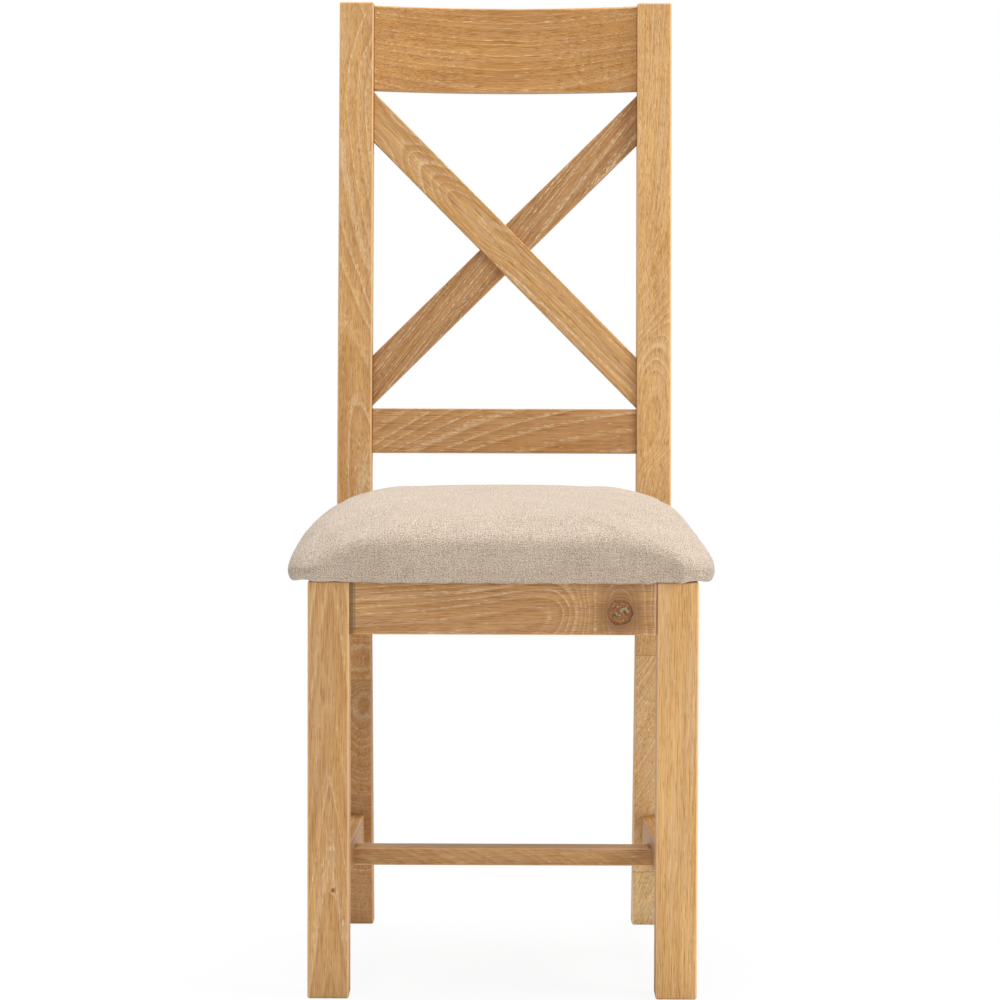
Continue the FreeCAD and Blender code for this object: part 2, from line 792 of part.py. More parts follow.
cloth, dust_cloth = dim("cloth_thickness"), dim("dust_cloth_thickness")
pad_gap = dim("pad_gap")
pad_base = rail_top + dust_cloth
board_base = pad_base + cloth
outer_notches = post_notches("cloth_notches", pad_gap)
inner_notches = post_notches("board_notches", pad_gap + cloth)
opening_notches = post_notches("opening_notches", pad_gap + dim("cloth_turn"))

outer_form = crowned_solid("cloth_form", 0, pad_base.value)
inner_form = crowned_solid("foam_form", cloth.value, board_base.value)
opening = straight_solid("cloth_opening", dim("pad_roll").value + dim("cloth_turn").value,
                         pad_base - 1, cloth + 2)

outer_skin = cut("cloth_block", outer_form, outer_notches)
inner_block = cut("foam_block", inner_form, inner_notches)
opening_block = cut("opening_block", opening, opening_notches)
cloth_shell = cut("cloth_shell", outer_skin, inner_block)
cut("seat_cover", cut("cloth_open", cloth_shell, opening_block), all_bores)

board_form = straight_solid("board_form", dim("board_inset").value, board_base,
                            dim("board_thickness"))
board_blank_solid = cut("board_block", board_form, inner_notches)
cut("seat_board", board_blank_solid, all_bores)
cut("seat_foam", inner_block, board_blank_solid)

dust_form = straight_solid("dust_form", dim("dust_cloth_inset").value, rail_top, dust_cloth)
cut("seat_dust_cover", cut("dust_block", dust_form, inner_notches), all_bores)

NODES = (
    ["front_leg_left", "front_leg_right", "back_post_left", "back_post_right"]
    + ["front_rail", "rear_rail", "side_rail_left", "side_rail_right"]
    + ["side_stretcher_left", "side_stretcher_right", "cross_stretcher"]
    + ["crest_rail", "lower_back_rail", "cross_slat_front", "cross_slat_rear"]
    + ["corner_block_" + corner_names[corner] for corner in corners]
    + ["seat_screws", "seat_board", "seat_foam", "seat_cover", "seat_dust_cover"]
)


def export_nodes():
    doc.recompute()
    for feature in doc.Objects:
        if {"Invalid", "Error"} & set(feature.State):
            raise RuntimeError(f"{feature.Label} failed: {feature.State}")
    parts = {}
    for label in NODES:
        shape = doc.getObjectsByLabel(label)[0].Shape
        if shape.isNull() or not shape.isValid() or not shape.Solids:
            raise RuntimeError(f"{label} is not a sound solid")
        parts[label] = shape
    os.makedirs("parts", exist_ok=True)
    for label, shape in parts.items():
        shape.exportStep(f"parts/{label}.step")
        print(f"{label}: {len(shape.Solids)} solid(s), {shape.Volume / 1000:.1f} cm3")


export_nodes()
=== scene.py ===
import math
from functools import partial, reduce

import bpy
import numpy as np
from mathutils import Matrix, Vector


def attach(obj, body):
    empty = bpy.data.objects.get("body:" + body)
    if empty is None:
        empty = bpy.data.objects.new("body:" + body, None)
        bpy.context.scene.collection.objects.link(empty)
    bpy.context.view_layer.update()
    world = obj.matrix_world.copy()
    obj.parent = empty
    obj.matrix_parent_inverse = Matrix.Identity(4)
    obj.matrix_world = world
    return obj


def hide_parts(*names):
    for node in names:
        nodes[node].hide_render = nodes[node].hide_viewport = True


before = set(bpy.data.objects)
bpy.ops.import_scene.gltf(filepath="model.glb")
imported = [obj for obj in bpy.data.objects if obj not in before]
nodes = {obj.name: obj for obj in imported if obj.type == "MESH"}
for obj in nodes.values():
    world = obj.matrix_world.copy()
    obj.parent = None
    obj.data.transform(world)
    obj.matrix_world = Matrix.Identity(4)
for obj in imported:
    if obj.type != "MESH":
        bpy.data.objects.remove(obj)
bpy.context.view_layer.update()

# Looks for an oak dining chair with a cross in its back and a linen seat pad.
# The scene is in metres; materials and the forms made here are written in millimetres.

MM = 0.001
scene = bpy.context.scene


def linear(red, green, blue):
    """A colour written as 0-255 display values, turned into linear light by the sRGB curve."""
    return tuple((c / 255 / 12.92 if c < 10.3 else ((c / 255 + 0.055) / 1.055) ** 2.4)
                 for c in (red, green, blue))


def rgba(colour, scale=(1, 1, 1)):
    return tuple(c * s for c, s in zip(colour, scale)) + (1.0,)


class Graph:
    """The nodes of a material or a world; any input is a socket or a plain value."""

    def __init__(self, owner):
        self.owner = owner
        owner.use_nodes = True
        self.tree = owner.node_tree
        self.tree.nodes.clear()

    def node(self, kind, inputs=(), **settings):
        made = self.tree.nodes.new("ShaderNode" + kind)
        for key, value in settings.items():
            setattr(made, key, value)
        for key, value in dict(inputs).items():
            self.feed(made.inputs[key], value)
        return made

    def add(self, kind, inputs=(), output=0, **settings):
        return self.node(kind, inputs, **settings).outputs[output]

    def feed(self, socket, value):
        if isinstance(value, bpy.types.NodeSocket):
            self.tree.links.new(value, socket)
        else:
            socket.default_value = value

    def math(self, operation, a, b=0.0, c=0.0):
        return self.add("Math", {0: a, 1: b, 2: c}, operation=operation)

    def plus(self, *values):
        return reduce(partial(self.math, "ADD"), values)

    def times(self, *values):
        return reduce(partial(self.math, "MULTIPLY"), values)

    def less(self, a, b):
        return self.math("SUBTRACT", a, b)

    def squares(self, a, b):
        return self.plus(self.times(a, a), self.times(b, b))

    def length(self, a, b):
        return self.math("SQRT", self.squares(a, b))

    def unit(self, value):
        """A value kept between 0 and 1."""
        return self.math("MINIMUM", self.math("MAXIMUM", value, 0.0), 1.0)

    def swing(self, value, amount):
        """A 0-1 value turned into a swing of amount about zero."""
        return self.math("MULTIPLY_ADD", value, amount, -amount / 2)

    def either(self, choice, first, second):
        """The first value where choice is 1, the second where it is 0."""
        return self.plus(self.times(choice, first), self.times(self.less(1.0, choice), second))

    def scaled(self, vector, scale, shift=0.0):
        moved = self.add("VectorMath", {0: vector, 1: scale}, operation="MULTIPLY")
        by = (shift, shift * 0.7, shift * 1.3)
        return self.add("VectorMath", {0: moved, 1: by}, operation="ADD")

    def object_place(self):
        """The place on the object, in millimetres."""
        return self.scaled(self.add("TexCoord", output="Object"), (1 / MM,) * 3)

    def facing(self, normal, way):
        """How squarely the surface faces a direction or its opposite, 0 to 1."""
        inputs = {0: normal, 1: tuple(way)}
        dot = self.add("VectorMath", inputs, "Value", operation="DOT_PRODUCT")
        return self.math("ABSOLUTE", dot)

    def join(self, x, y, z=0.0):
        return self.add("CombineXYZ", {0: x, 1: y, 2: z})

    def split(self, vector):
        return tuple(self.node("SeparateXYZ", {0: vector}).outputs)

    def noise(self, vector, detail=2.0, roughness=0.5, output=0):
        inputs = {"Vector": vector, "Scale": 1.0, "Detail": detail, "Roughness": roughness}
        return self.add("TexNoise", inputs, output)

    def cells(self, vector):
        """Distance to the nearest scattered point, and its random value."""
        found = self.node("TexVoronoi", {"Vector": vector, "Scale": 1.0})
        return found.outputs["Distance"], self.split(found.outputs["Color"])[0]

    def ramp(self, value, low, high, to_low=0.0, to_high=1.0):
        inputs = {0: value, 1: low, 2: high, 3: to_low, 4: to_high}
        return self.add("MapRange", inputs, interpolation_type="SMOOTHSTEP")

    def fall(self, value, low, high):
        """1 up to low, and 0 from high on."""
        return self.ramp(value, low, high, 1.0, 0.0)

    def band(self, value, rise, fall):
        """1 between two places, each given as the range over which the edge softens."""
        return self.times(self.ramp(value, *rise), self.fall(value, *fall))

    def blend(self, factor, a, b, blend_type="MIX"):
        inputs = {0: factor, 6: a, 7: b}
        return self.add("Mix", inputs, 2, data_type="RGBA", blend_type=blend_type)

    def cover(self, colour, amount, strength, over):
        """Another colour laid over a colour, at most as much as strength."""
        return self.blend(self.times(amount, strength), colour, over)

    def curve(self, value, points):
        """A smooth function through (input, output) points, flat beyond its ends."""
        ins, outs = [p[0] for p in points], [p[1] for p in points]
        low, span = min(ins), max(ins) - min(ins)
        base, height = min(outs), max(outs) - min(outs) or 1.0
        where = self.add("MapRange", {0: value, 1: low, 2: low + span})
        made = self.node("FloatCurve", {"Value": where})
        line = made.mapping.curves[0]
        places = [((i - low) / span, (o - base) / height) for i, o in sorted(points)]
        line.points[0].location, line.points[1].location = places[0], places[-1]
        for place in places[1:-1]:
            line.points.new(*place)
        made.mapping.update()
        return self.math("MULTIPLY_ADD", made.outputs[0], height, base)

    def finish(self, colour, roughness, height, depth, **constants):
        """The surface, bumped by depth millimetres; constants go on the shader's sockets."""
        inputs = {"Strength": 1.0, "Distance": depth * MM, "Height": height}
        inputs = {"Base Color": colour, "Roughness": roughness,
                  "Normal": self.add("Bump", inputs)}
        shader = self.node("BsdfPrincipled", inputs)
        for key, value in constants.items():
            shader.inputs[key.replace("_", " ")].default_value = value
        self.node("OutputMaterial", {0: shader.outputs[0]})
        return self.owner


def new_graph(name):
    return Graph(bpy.data.materials.new(name))


# Oak

# Each pattern's length along the grain, width across it and shift of the seed
GRAIN = {"slow": (190, 42, 0), "quick": (55, 12, 9), "streaks": (120, 3.6, 3),
         "sway": (70, 14, 4), "lines": (24, 0.85, 5), "fibres": (26, 0.9, 6),
         "broad": (220, 22, 7), "golden": (130, 9, 8), "tracks": (8, 0.75, 15),
         "dashes": (12, 0.9, 17)}
PORE_WIDTH, SHORT_PORE_WIDTH = 1.15, 0.85
SHORTER = 1.7
SWAY = 5.0

# Where in a ring, from 0 to 1, each kind of wood starts and ends
EARLY_WOOD = ((0.0, 0.08), (0.16, 0.42))
LATE_WOOD = ((0.5, 0.96), (0.96, 1.0))
BESIDE_RING = ((0.0, 0.05), (0.12, 0.22))
WEAKEST_RING = 0.35
UNEVEN_RINGS = 2.2

# The middle level between the deep and the light shade, and how far it moves: both ways with
# streaks, fibres and broad bands, and one way with late wood, early wood and dark lines
MIDDLE_LEVEL, BOTH_WAYS, ONE_WAY = 0.62, (0.22, 0.7, 0.2), (-0.16, 0.08, -0.42)

# Shades as shares of a timber's tone, and for marks how strongly they show
DEEP_SHADE, LIGHT_SHADE = (0.67, 0.54, 0.35), (1.19, 1.25, 1.31)
MARKS = {"dash": ((0.55, 0.41, 0.26), 0.6), "end_grain": ((0.62, 0.52, 0.42), 0.45),
         # The worn edge mark lightens rounded edges: partly worn finish, partly a painted
         # highlight.
         "worn_edge": ((1.46, 1.5, 1.6), 1.0), "glue_line": ((0.45, 0.36, 0.28), 0.55),
         # The shoulder mark is a dark joint with painted shade in it, beside the posts.
         "shoulder": ((0.35, 0.28, 0.22), 0.7)}
GOLDEN_TINT, GOLDEN_STRENGTH = (1.04, 1.0, 0.83), 0.8
LIME, LIME_STRENGTH = linear(229, 212, 177), 0.76

OAK_ROUGHNESS, OAK_SPECULAR, OAK_BUMP = 0.52, 0.25, 0.16


def grain_place(g, origin, along, across):
    """The object's own place, millimetres along, across and into a board, and those directions."""
    long_axis = Vector(along).normalized()
    face = Vector(across)
    face = (face - long_axis * face.dot(long_axis)).normalized()
    deep = long_axis.cross(face)
    turn = Matrix((long_axis, face, deep)).transposed()
    where = g.add("TexCoord", output="Object")
    place = g.add("Mapping", {
        "Vector": where, "Location": [c * MM for c in origin],
        "Rotation": turn.to_euler(), "Scale": (MM, MM, MM)}, vector_type="TEXTURE")
    return where, place, (long_axis, face, deep)


def along_grain(g, place, seed, pattern):
    """Places squeezed so that a pattern runs long along the grain."""
    length, width, shift = GRAIN[pattern]
    return g.scaled(place, (1 / length, 1 / width, 1 / width), seed + shift)


def marked(g, colour, amount, tone, mark, share=1.0):
    shade, strength = MARKS[mark]
    return g.cover(colour, amount, strength * share, rgba(tone, shade))


def glued_blocks(g, place, glue):
    """Moves the pattern below each glue line; also says how much closer the rings are."""
    u, v, w = g.split(place)
    closer_rings = 1.0
    soft_edge, jump = 0.1, 61.0
    for height, _, (shift_v, shift_w, lean, closer) in glue:
        below = g.fall(u, height - soft_edge, height + soft_edge)
        closer_rings = g.times(closer_rings, g.plus(1.0, g.times(below, closer - 1.0)))
        leaning = g.times(g.less(u, height), lean)
        v = g.plus(v, g.times(below, g.plus(leaning, shift_v)))
        w = g.plus(w, g.times(below, shift_w))
        place = g.join(g.plus(u, g.times(below, jump)), v, w)
    return place, (u, v, w), closer_rings


def ring_distance(g, place, spot, pith, drift, swell, wander, bends, seed):
    """Distance from a wandering pith line, with a bulge round each (along, across, reach)."""
    u, v, w = spot
    _, slow_v, slow_w = g.split(g.noise(along_grain(g, place, seed, "slow"), output="Color"))
    _, quick_v, quick_w = g.split(g.noise(along_grain(g, place, seed, "quick"), output="Color"))
    far, near, bulging = wander * 2, wander * 0.35, 2.1
    from_v = g.less(g.plus(v, g.swing(slow_v, far), g.swing(quick_v, near)), pith[0])
    from_w = g.less(g.plus(w, g.swing(slow_w, far), g.swing(quick_w, near)), pith[1])
    if drift:
        from_v = g.less(from_v, g.curve(u, drift))
    ring = g.length(from_v, from_w)
    if swell:
        ring = g.plus(ring, g.curve(u, swell))
    for bend_u, bend_v, reach in bends:
        square = g.squares(g.less(u, bend_u), g.less(v, bend_v))
        bulge = g.math("EXPONENT", g.times(square, -1 / (2 * reach * reach)))
        ring = g.plus(ring, g.times(bulge, reach * bulging))
    return ring


def ring_bands(g, ring, spacing):
    """Early wood, late wood and the line beside each ring; some rings are weaker."""
    inputs = {"W": g.times(ring, 0.45 / spacing), "Scale": 1.0, "Detail": 1.0}
    uneven = g.add("TexNoise", inputs, noise_dimensions="1D")
    count = g.plus(g.times(ring, 1 / spacing), g.swing(uneven, UNEVEN_RINGS))
    part = g.math("FRACT", count)
    inputs = {"W": g.math("FLOOR", count)}
    chance = g.add("TexWhiteNoise", inputs, noise_dimensions="1D")
    strength = g.ramp(chance, 0.0, 1.0, WEAKEST_RING, 1.0)
    early = g.times(g.band(part, *EARLY_WOOD), strength)
    beside = g.times(g.band(part, *BESIDE_RING), strength)
    return early, g.band(part, *LATE_WOOD), beside


def scattered(g, lane, scale, edge, crowd, seed):
    """Dashes at random places, as many of them as crowd lets show."""
    far, chance = g.cells(g.scaled(lane, scale, seed))
    return g.times(g.fall(far, *edge), g.ramp(g.less(crowd, chance), -0.02, 0.05))


def pale_pores(g, lane, early, beside, pores, pore_length, tracks, seed):
    """Limed pores: long and short dashes, thick in early wood, and broken lines by it."""
    across = 1 / PORE_WIDTH
    crowd = g.times(g.plus(0.025, g.times(early, 0.95)), pores * 1.25)
    pale = scattered(g, lane, (1 / pore_length, across, across), (0.16, 0.38), crowd, seed + 11)
    across = 1 / SHORT_PORE_WIDTH
    crowd = g.times(g.plus(0.1, g.times(early, 0.8)), pores * 1.1)
    short = scattered(g, lane, (SHORTER / pore_length, across, across), (0.2, 0.4), crowd,
                      seed + 13)
    pale = g.math("MAXIMUM", pale, g.times(short, 0.75))
    broken = g.ramp(g.noise(along_grain(g, lane, seed, "tracks"), 1.0), 0.47, 0.58)
    return g.math("MAXIMUM", pale, g.times(beside, broken, tracks))


def ends_and_edges(g, colour, tone, axes, worn):
    """Darker end grain, and paler rounded edges: wear plus a painted highlight, told by how the
    surface faces.
    """
    normal = g.add("NewGeometry", output="Normal")
    end, *faces = (g.facing(normal, way) for way in axes)
    colour = marked(g, colour, g.ramp(end, 0.8, 0.95), tone, "end_grain")
    edge = g.ramp(g.math("MINIMUM", *faces), 0.2, 0.5)
    return marked(g, colour, edge, tone, "worn_edge", worn)


def glue_lines(g, colour, tone, u, glue):
    """Below each glue line another colour over the wood, partly the block's own tone and partly
    painted light and shade; and the thin dark line itself.
    """
    soft_edge = 0.3
    for height, block_tone_light_and_shade, _ in glue:
        above = g.ramp(u, height - soft_edge, height + soft_edge)
        tinted = g.blend(1.0, colour, rgba(block_tone_light_and_shade), "MULTIPLY")
        colour = g.blend(above, tinted, colour)
        line = g.fall(g.math("ABSOLUTE", g.less(u, height)), 0.2, 0.9)
        colour = marked(g, colour, line, tone, "glue_line")
    return colour


def shoulders_and_strips(g, colour, tone, where, gap, strips):
    """Dark joints with painted shade at both shoulders, and bands of painted shadow and highlight,
    at places across the chair.
    """
    across_chair = g.times(g.split(where)[0], 1 / MM)
    if gap is not None:
        # A dark joint line at each shoulder, with painted shade where the rail meets its post.
        seam = g.ramp(g.math("ABSOLUTE", across_chair), gap - 1.7, gap - 0.3)
        colour = marked(g, colour, seam, tone, "shoulder")
    soft_edge = 0.4
    # Each band is a painted shadow or a painted highlight laid across the chair.
    for start, end, band_colour, strength in strips:
        strip = g.band(across_chair, (start - soft_edge, start + soft_edge),
                       (end - soft_edge, end + soft_edge))
        colour = g.cover(colour, strip, strength, rgba(linear(*band_colour)))
    return colour


def oak(name, origin, along, across, tone, pith=(70.0, -45.0), drift=(), swell=(),
        spacing=6.0, wander=3.0, pores=0.5, pore_length=16.0, contrast=1.0, knots=(),
        swirls=(), glue=(), gap=None, strips=(), tracks=0.5, worn=0.7, seed=0):
    """Oiled and limed oak, as a solid block of wood with rings round a pith line.

    tone is in display values. drift moves the pith line across the board along its length,
    and swell moves the rings in and out; both are (place, amount) points. Each knot is
    (along, across, reach, size), and each swirl (along, across, reach) bends the rings only.
    glue holds (place, colour, shift) steps, below which another block is glued on; the colour is
    partly that block's own tone and partly painted light and shade. A shift is (across, in, lean,
    how much closer the rings are). gap is how far from the chair's middle a shoulder meets its
    post; there a dark joint is painted, with painted shade in it. Each of the light and shade
    bands is (from, to, colour, strength) across the chair: a painted shadow or a painted
    highlight.
    tracks is how strongly pale pores line each ring, and the edge setting how pale rounded edges
    are painted, as wear plus a painted highlight.
    """
    g = new_graph(name)
    tone = linear(*tone)
    where, place, axes = grain_place(g, origin, along, across)
    place, spot, closer_rings = glued_blocks(g, place, glue)
    u, v, w = spot
    bends = [one[:3] for one in knots] + list(swirls)
    ring = ring_distance(g, place, spot, pith, drift, swell, wander, bends, seed)
    if glue:
        ring = g.times(ring, closer_rings)
    early, late, beside = ring_bands(g, ring, spacing)

    def pattern(kind, detail=1.0, roughness=0.5):
        return g.noise(along_grain(g, place, seed, kind), detail, roughness)

    streaks = g.ramp(pattern("streaks", 2.0, 0.55), 0.3, 0.7)
    lines = g.fall(pattern("lines"), 0.35, 0.46)
    fibres = pattern("fibres")
    broad = g.ramp(pattern("broad"), 0.3, 0.7)
    golden = g.ramp(pattern("golden"), 0.36, 0.64)
    sway = pattern("sway")
    lane = g.join(u, g.plus(v, g.swing(sway, SWAY)), g.plus(w, g.swing(sway, SWAY)))
    pale = pale_pores(g, lane, early, beside, pores, pore_length, tracks, seed)
    far, chance = g.cells(along_grain(g, lane, seed, "dashes"))
    dark = g.times(g.fall(far, 0.12, 0.34), g.fall(chance, 0.34, 0.4))

    swings = [g.swing(field, share * contrast)
              for field, share in zip((streaks, fibres, broad), BOTH_WAYS)]
    shifts = [g.times(field, share * contrast)
              for field, share in zip((late, early, lines), ONE_WAY)]
    level = g.unit(g.plus(MIDDLE_LEVEL, *swings, *shifts))
    colour = g.blend(level, rgba(tone, DEEP_SHADE), rgba(tone, LIGHT_SHADE))
    colour = g.blend(g.times(golden, GOLDEN_STRENGTH), colour, rgba(GOLDEN_TINT), "MULTIPLY")
    colour = marked(g, colour, dark, tone, "dash", contrast)
    colour = g.cover(colour, pale, LIME_STRENGTH, rgba(LIME))
    colour = ends_and_edges(g, colour, tone, axes, worn)
    for knot_u, knot_v, _, size in knots:
        colour = knot(g, colour, place, (g.less(u, knot_u), g.less(v, knot_v)), size, seed)
    colour = glue_lines(g, colour, tone, u, glue)
    if gap is not None or strips:
        colour = shoulders_and_strips(g, colour, tone, where, gap, strips)

    roughness = g.plus(OAK_ROUGHNESS, g.swing(streaks, 0.08), g.times(pale, 0.2))
    height = g.plus(g.swing(fibres, 0.4), g.times(pale, -0.5), g.times(dark, -0.8),
                    g.times(lines, -0.3))
    return g.finish(colour, roughness, height, OAK_BUMP, Specular_IOR_Level=OAK_SPECULAR)


KNOT_HALO, KNOT_RING, KNOT_RIM = linear(136, 97, 62), linear(120, 84, 54), linear(78, 52, 34)
KNOT_HEART, KNOT_HEART_PALE = linear(124, 77, 42), linear(168, 110, 64)
FILLER, FILLER_OUTLINE = linear(150, 136, 102), linear(76, 54, 36)
KNOT_RING_SPACING = 4.4


def knot(g, colour, place, offset, size, seed):
    """A filled knot: a dark rim, a reddish heart and greyish filler in its cracks."""
    away = g.length(*offset)
    ragged = g.plus(away, g.swing(g.noise(g.scaled(place, (0.13, 0.13, 0.1), seed)), size * 0.5))

    def within(full, gone):
        return g.fall(ragged, size * full, size * gone)

    colour = g.cover(colour, within(0.9, 3.0), 0.78, rgba(KNOT_HALO))
    turns = g.plus(away, g.times(ragged, 0.4))
    wave = g.math("SINE", g.times(turns, math.tau / KNOT_RING_SPACING))
    rings = g.times(g.ramp(wave, 0.2, 0.9), within(1.1, 2.1))
    colour = g.cover(colour, rings, 0.5, rgba(KNOT_RING))
    inside = within(0.92, 1.04)
    grit = g.noise(g.scaled(place, (0.5, 0.5, 0.5), seed + 21), 3.0, 0.7)
    heart = g.blend(g.ramp(grit, 0.36, 0.64), rgba(KNOT_HEART), rgba(KNOT_HEART_PALE))
    colour = g.blend(inside, colour, heart)
    spots = g.noise(g.scaled(place, (0.26, 0.26, 0.2), seed + 23), 1.5, 0.5)
    spots = g.plus(spots, g.ramp(ragged, size * 0.5, size * 0.95, 0.04, -0.2))
    outline = g.times(g.ramp(spots, 0.47, 0.51), inside)
    colour = g.cover(colour, outline, 0.82, rgba(FILLER_OUTLINE))
    filled = g.times(g.ramp(spots, 0.55, 0.575), inside)
    colour = g.blend(filled, colour, rgba(FILLER))
    rim = g.times(g.ramp(ragged, size * 0.82, size * 0.94), within(1.0, 1.12))
    heavier = g.ramp(g.less(*offset), -size, size, 0.45, 1.0)
    return g.blend(g.times(rim, heavier, 0.75), colour, rgba(KNOT_RIM))


# Cloth, board, metal

LINEN_TONE, LINEN_DARK, LINEN_PALE = linear(194, 176, 157), (0.52, 0.48, 0.42), (1.34, 1.39, 1.46)
LINEN_PITCH, LINEN_WANDER, LINEN_BUMP = 1.15, 1.6, 0.3
THREADS_EACH_MM, SLUB_LENGTH = 0.9, 11
BAR_WIDTH, BAR_LENGTH = 2.6, 30


def cloth_plan(g, place):
    """Distances across and down the cloth, whichever way the surface faces."""
    x, y, z = g.split(place)
    normal = g.add("NewGeometry", output="Normal")
    n_x, n_y, n_z = (g.math("ABSOLUTE", part) for part in g.split(normal))
    fray = g.swing(g.noise(g.scaled(place, (0.4, 0.4, 0.4))), 0.16)
    on_top = g.math("GREATER_THAN", g.plus(n_z, fray), g.math("MAXIMUM", n_x, n_y))
    on_side = g.times(g.math("GREATER_THAN", g.plus(n_x, fray), n_y), g.less(1.0, on_top))
    across = g.plus(g.times(x, g.less(1.0, on_side)), g.times(z, on_side))
    by_depth = g.math("MAXIMUM", on_top, on_side)
    down = g.plus(g.times(y, by_depth), g.times(z, g.less(1.0, by_depth)))
    return across, down, g.join(across, down, g.times(on_side, 50.0))


def linen(name, tone):
    """A plain weave of uneven threads, mottled, and faintly barred both ways."""
    g = new_graph(name)
    across, down, flat = cloth_plan(g, g.object_place())
    bend_a, bend_b, _ = g.split(g.noise(g.scaled(flat, (1 / 22, 1 / 22, 1.0)), output="Color"))
    a = g.plus(across, g.swing(bend_a, LINEN_WANDER))
    b = g.plus(down, g.swing(bend_b, LINEN_WANDER))

    warp_at, weft_at = g.times(a, 1 / LINEN_PITCH), g.times(b, 1 / LINEN_PITCH)
    warp_round, weft_round = (g.math("ABSOLUTE", g.math("SINE", g.times(at, math.pi)))
                              for at in (warp_at, weft_at))
    turn = g.plus(g.math("FLOOR", warp_at), g.math("FLOOR", weft_at))
    over = g.math("GREATER_THAN", g.math("PINGPONG", turn, 1.0), 0.5)

    def streaked(scale_a, scale_b, layer, roughness=0.5):
        return g.noise(g.join(g.times(a, scale_a), g.times(b, scale_b), layer), 2.0, roughness)

    warp_tone = streaked(THREADS_EACH_MM, 1 / SLUB_LENGTH, 3.0, 0.6)
    weft_tone = streaked(1 / SLUB_LENGTH, THREADS_EACH_MM, 7.0, 0.6)
    thread_tone = g.either(over, warp_tone, weft_tone)
    thread_height = g.either(over, warp_round, weft_round)
    mottle = g.ramp(g.noise(g.scaled(flat, (1 / 1.5, 1 / 1.25, 1.0)), 2.0, 0.65), 0.3, 0.7)
    cloudy = g.noise(g.scaled(flat, (1 / 55, 1 / 34, 1.0)))
    bars = g.plus(g.swing(streaked(1 / BAR_WIDTH, 1 / BAR_LENGTH, 1.0), 0.5),
                  g.swing(streaked(1 / BAR_LENGTH, 1 / BAR_WIDTH, 2.0), 0.5))
    level = g.plus(0.5, g.swing(thread_tone, 1.3), g.swing(mottle, 0.9), g.swing(cloudy, 0.22),
                   g.times(bars, 0.7), g.swing(thread_height, 0.3))
    colour = g.blend(g.unit(level), rgba(tone, LINEN_DARK), rgba(tone, LINEN_PALE))
    height = g.plus(g.times(thread_height, 0.8), g.swing(mottle, 0.6))
    return g.finish(colour, 0.92, height, LINEN_BUMP, Specular_IOR_Level=0.2, Sheen_Weight=0.25,
                    Sheen_Roughness=0.45, Sheen_Tint=(1.0, 0.96, 0.92, 1.0))


def ply_material(name):
    """Birch plywood: layers of 1.5 mm, with the face's long figure."""
    g = new_graph(name)
    place = g.object_place()
    plies = g.math("SINE", g.times(g.split(place)[2], math.pi / 1.5))
    figure = g.noise(g.scaled(place, (1 / 90, 1 / 6, 1.0)), 3.0, 0.6)
    level = g.plus(g.times(figure, 0.8), g.times(plies, 0.12))
    colour = g.blend(level, rgba(linear(186, 148, 100)), rgba(linear(226, 200, 156)))
    return g.finish(colour, 0.7, figure, 0.1)


def foam_material(name):
    """Pale foam with cells about a millimetre wide."""
    g = new_graph(name)
    far, _ = g.cells(g.scaled(g.object_place(), (0.9, 0.9, 0.9)))
    colour = g.blend(far, rgba(linear(214, 200, 160)), rgba(linear(240, 232, 205)))
    return g.finish(colour, 0.95, far, 0.4)


def steel_material(name):
    """Yellowish zinc-plated steel, a little uneven in colour and shine."""
    g = new_graph(name)
    spots = g.noise(g.scaled(g.object_place(), (0.5, 0.5, 0.5)), 3.0, 0.6)
    colour = g.blend(spots, rgba(linear(176, 172, 158)), rgba(linear(214, 212, 204)))
    return g.finish(colour, g.ramp(spots, 0.2, 0.8, 0.25, 0.42), spots, 0.03, Metallic=1.0)


def dust_cloth_material(name):
    """Black spun-bonded cloth with its fine grid of pressed dots, 1.3 mm apart."""
    g = new_graph(name)
    place = g.object_place()
    x, y, _ = g.split(place)
    dots = g.times(*(g.math("SINE", g.times(way, math.pi / 1.3)) for way in (x, y)))
    fibres = g.noise(g.scaled(place, (1.2, 0.25, 1.0)), 3.0, 0.7)
    pressed = g.ramp(dots, 0.45, 0.8)
    level = g.plus(g.times(fibres, 0.8), g.times(pressed, 0.3))
    colour = g.blend(level, rgba(linear(22, 22, 23)), rgba(linear(66, 66, 68)))
    return g.finish(colour, 0.85, g.less(fibres, pressed), 0.15, Sheen_Weight=0.1)


# The timbers, each with its own grain

UP, RIGHT = (0, 0, 1), (1, 0, 0)
POST_FRONT, POST_INNER, LEG_INNER = 131, 154, 163
KNEE_HEIGHT = 455
RAIL_LEVEL, STRETCHER_LEVEL = 416.8, 118
LEAN = math.atan2(62.5, 636)
UP_BACK = (0, math.sin(LEAN), math.cos(LEAN))
CROSS_UP_BACK = 350
CROSS_CENTRE = (0, POST_FRONT + CROSS_UP_BACK * UP_BACK[1],
                KNEE_HEIGHT + CROSS_UP_BACK * UP_BACK[2])
SLAT_ANGLE = math.radians(45.3)
RAIL_TONE = (190, 146, 98)


def slat_way(direction, runout=0.0):
    """Along a slat, in the leaning plane of the back; direction +1 falls to the right."""
    steep = SLAT_ANGLE + math.radians(runout)
    across, rise = math.cos(steep), -direction * math.sin(steep)
    return (across, rise * UP_BACK[1], rise * UP_BACK[2])


def dress(name, material):
    """Gives a CAD node its material and even shading, and returns the material."""
    for slot in nodes[name].material_slots:
        slot.material = material
    nodes[name].data.shade_smooth()
    edge = nodes[name].modifiers.new("even_shading", "WEIGHTED_NORMAL")
    edge.keep_sharp = True
    return material


def timber(node, *board, **grain):
    """Dresses a timber in oak of its own."""
    dress(node, oak("oak_" + node.replace("cross_slat", "slat"), *board, **grain))


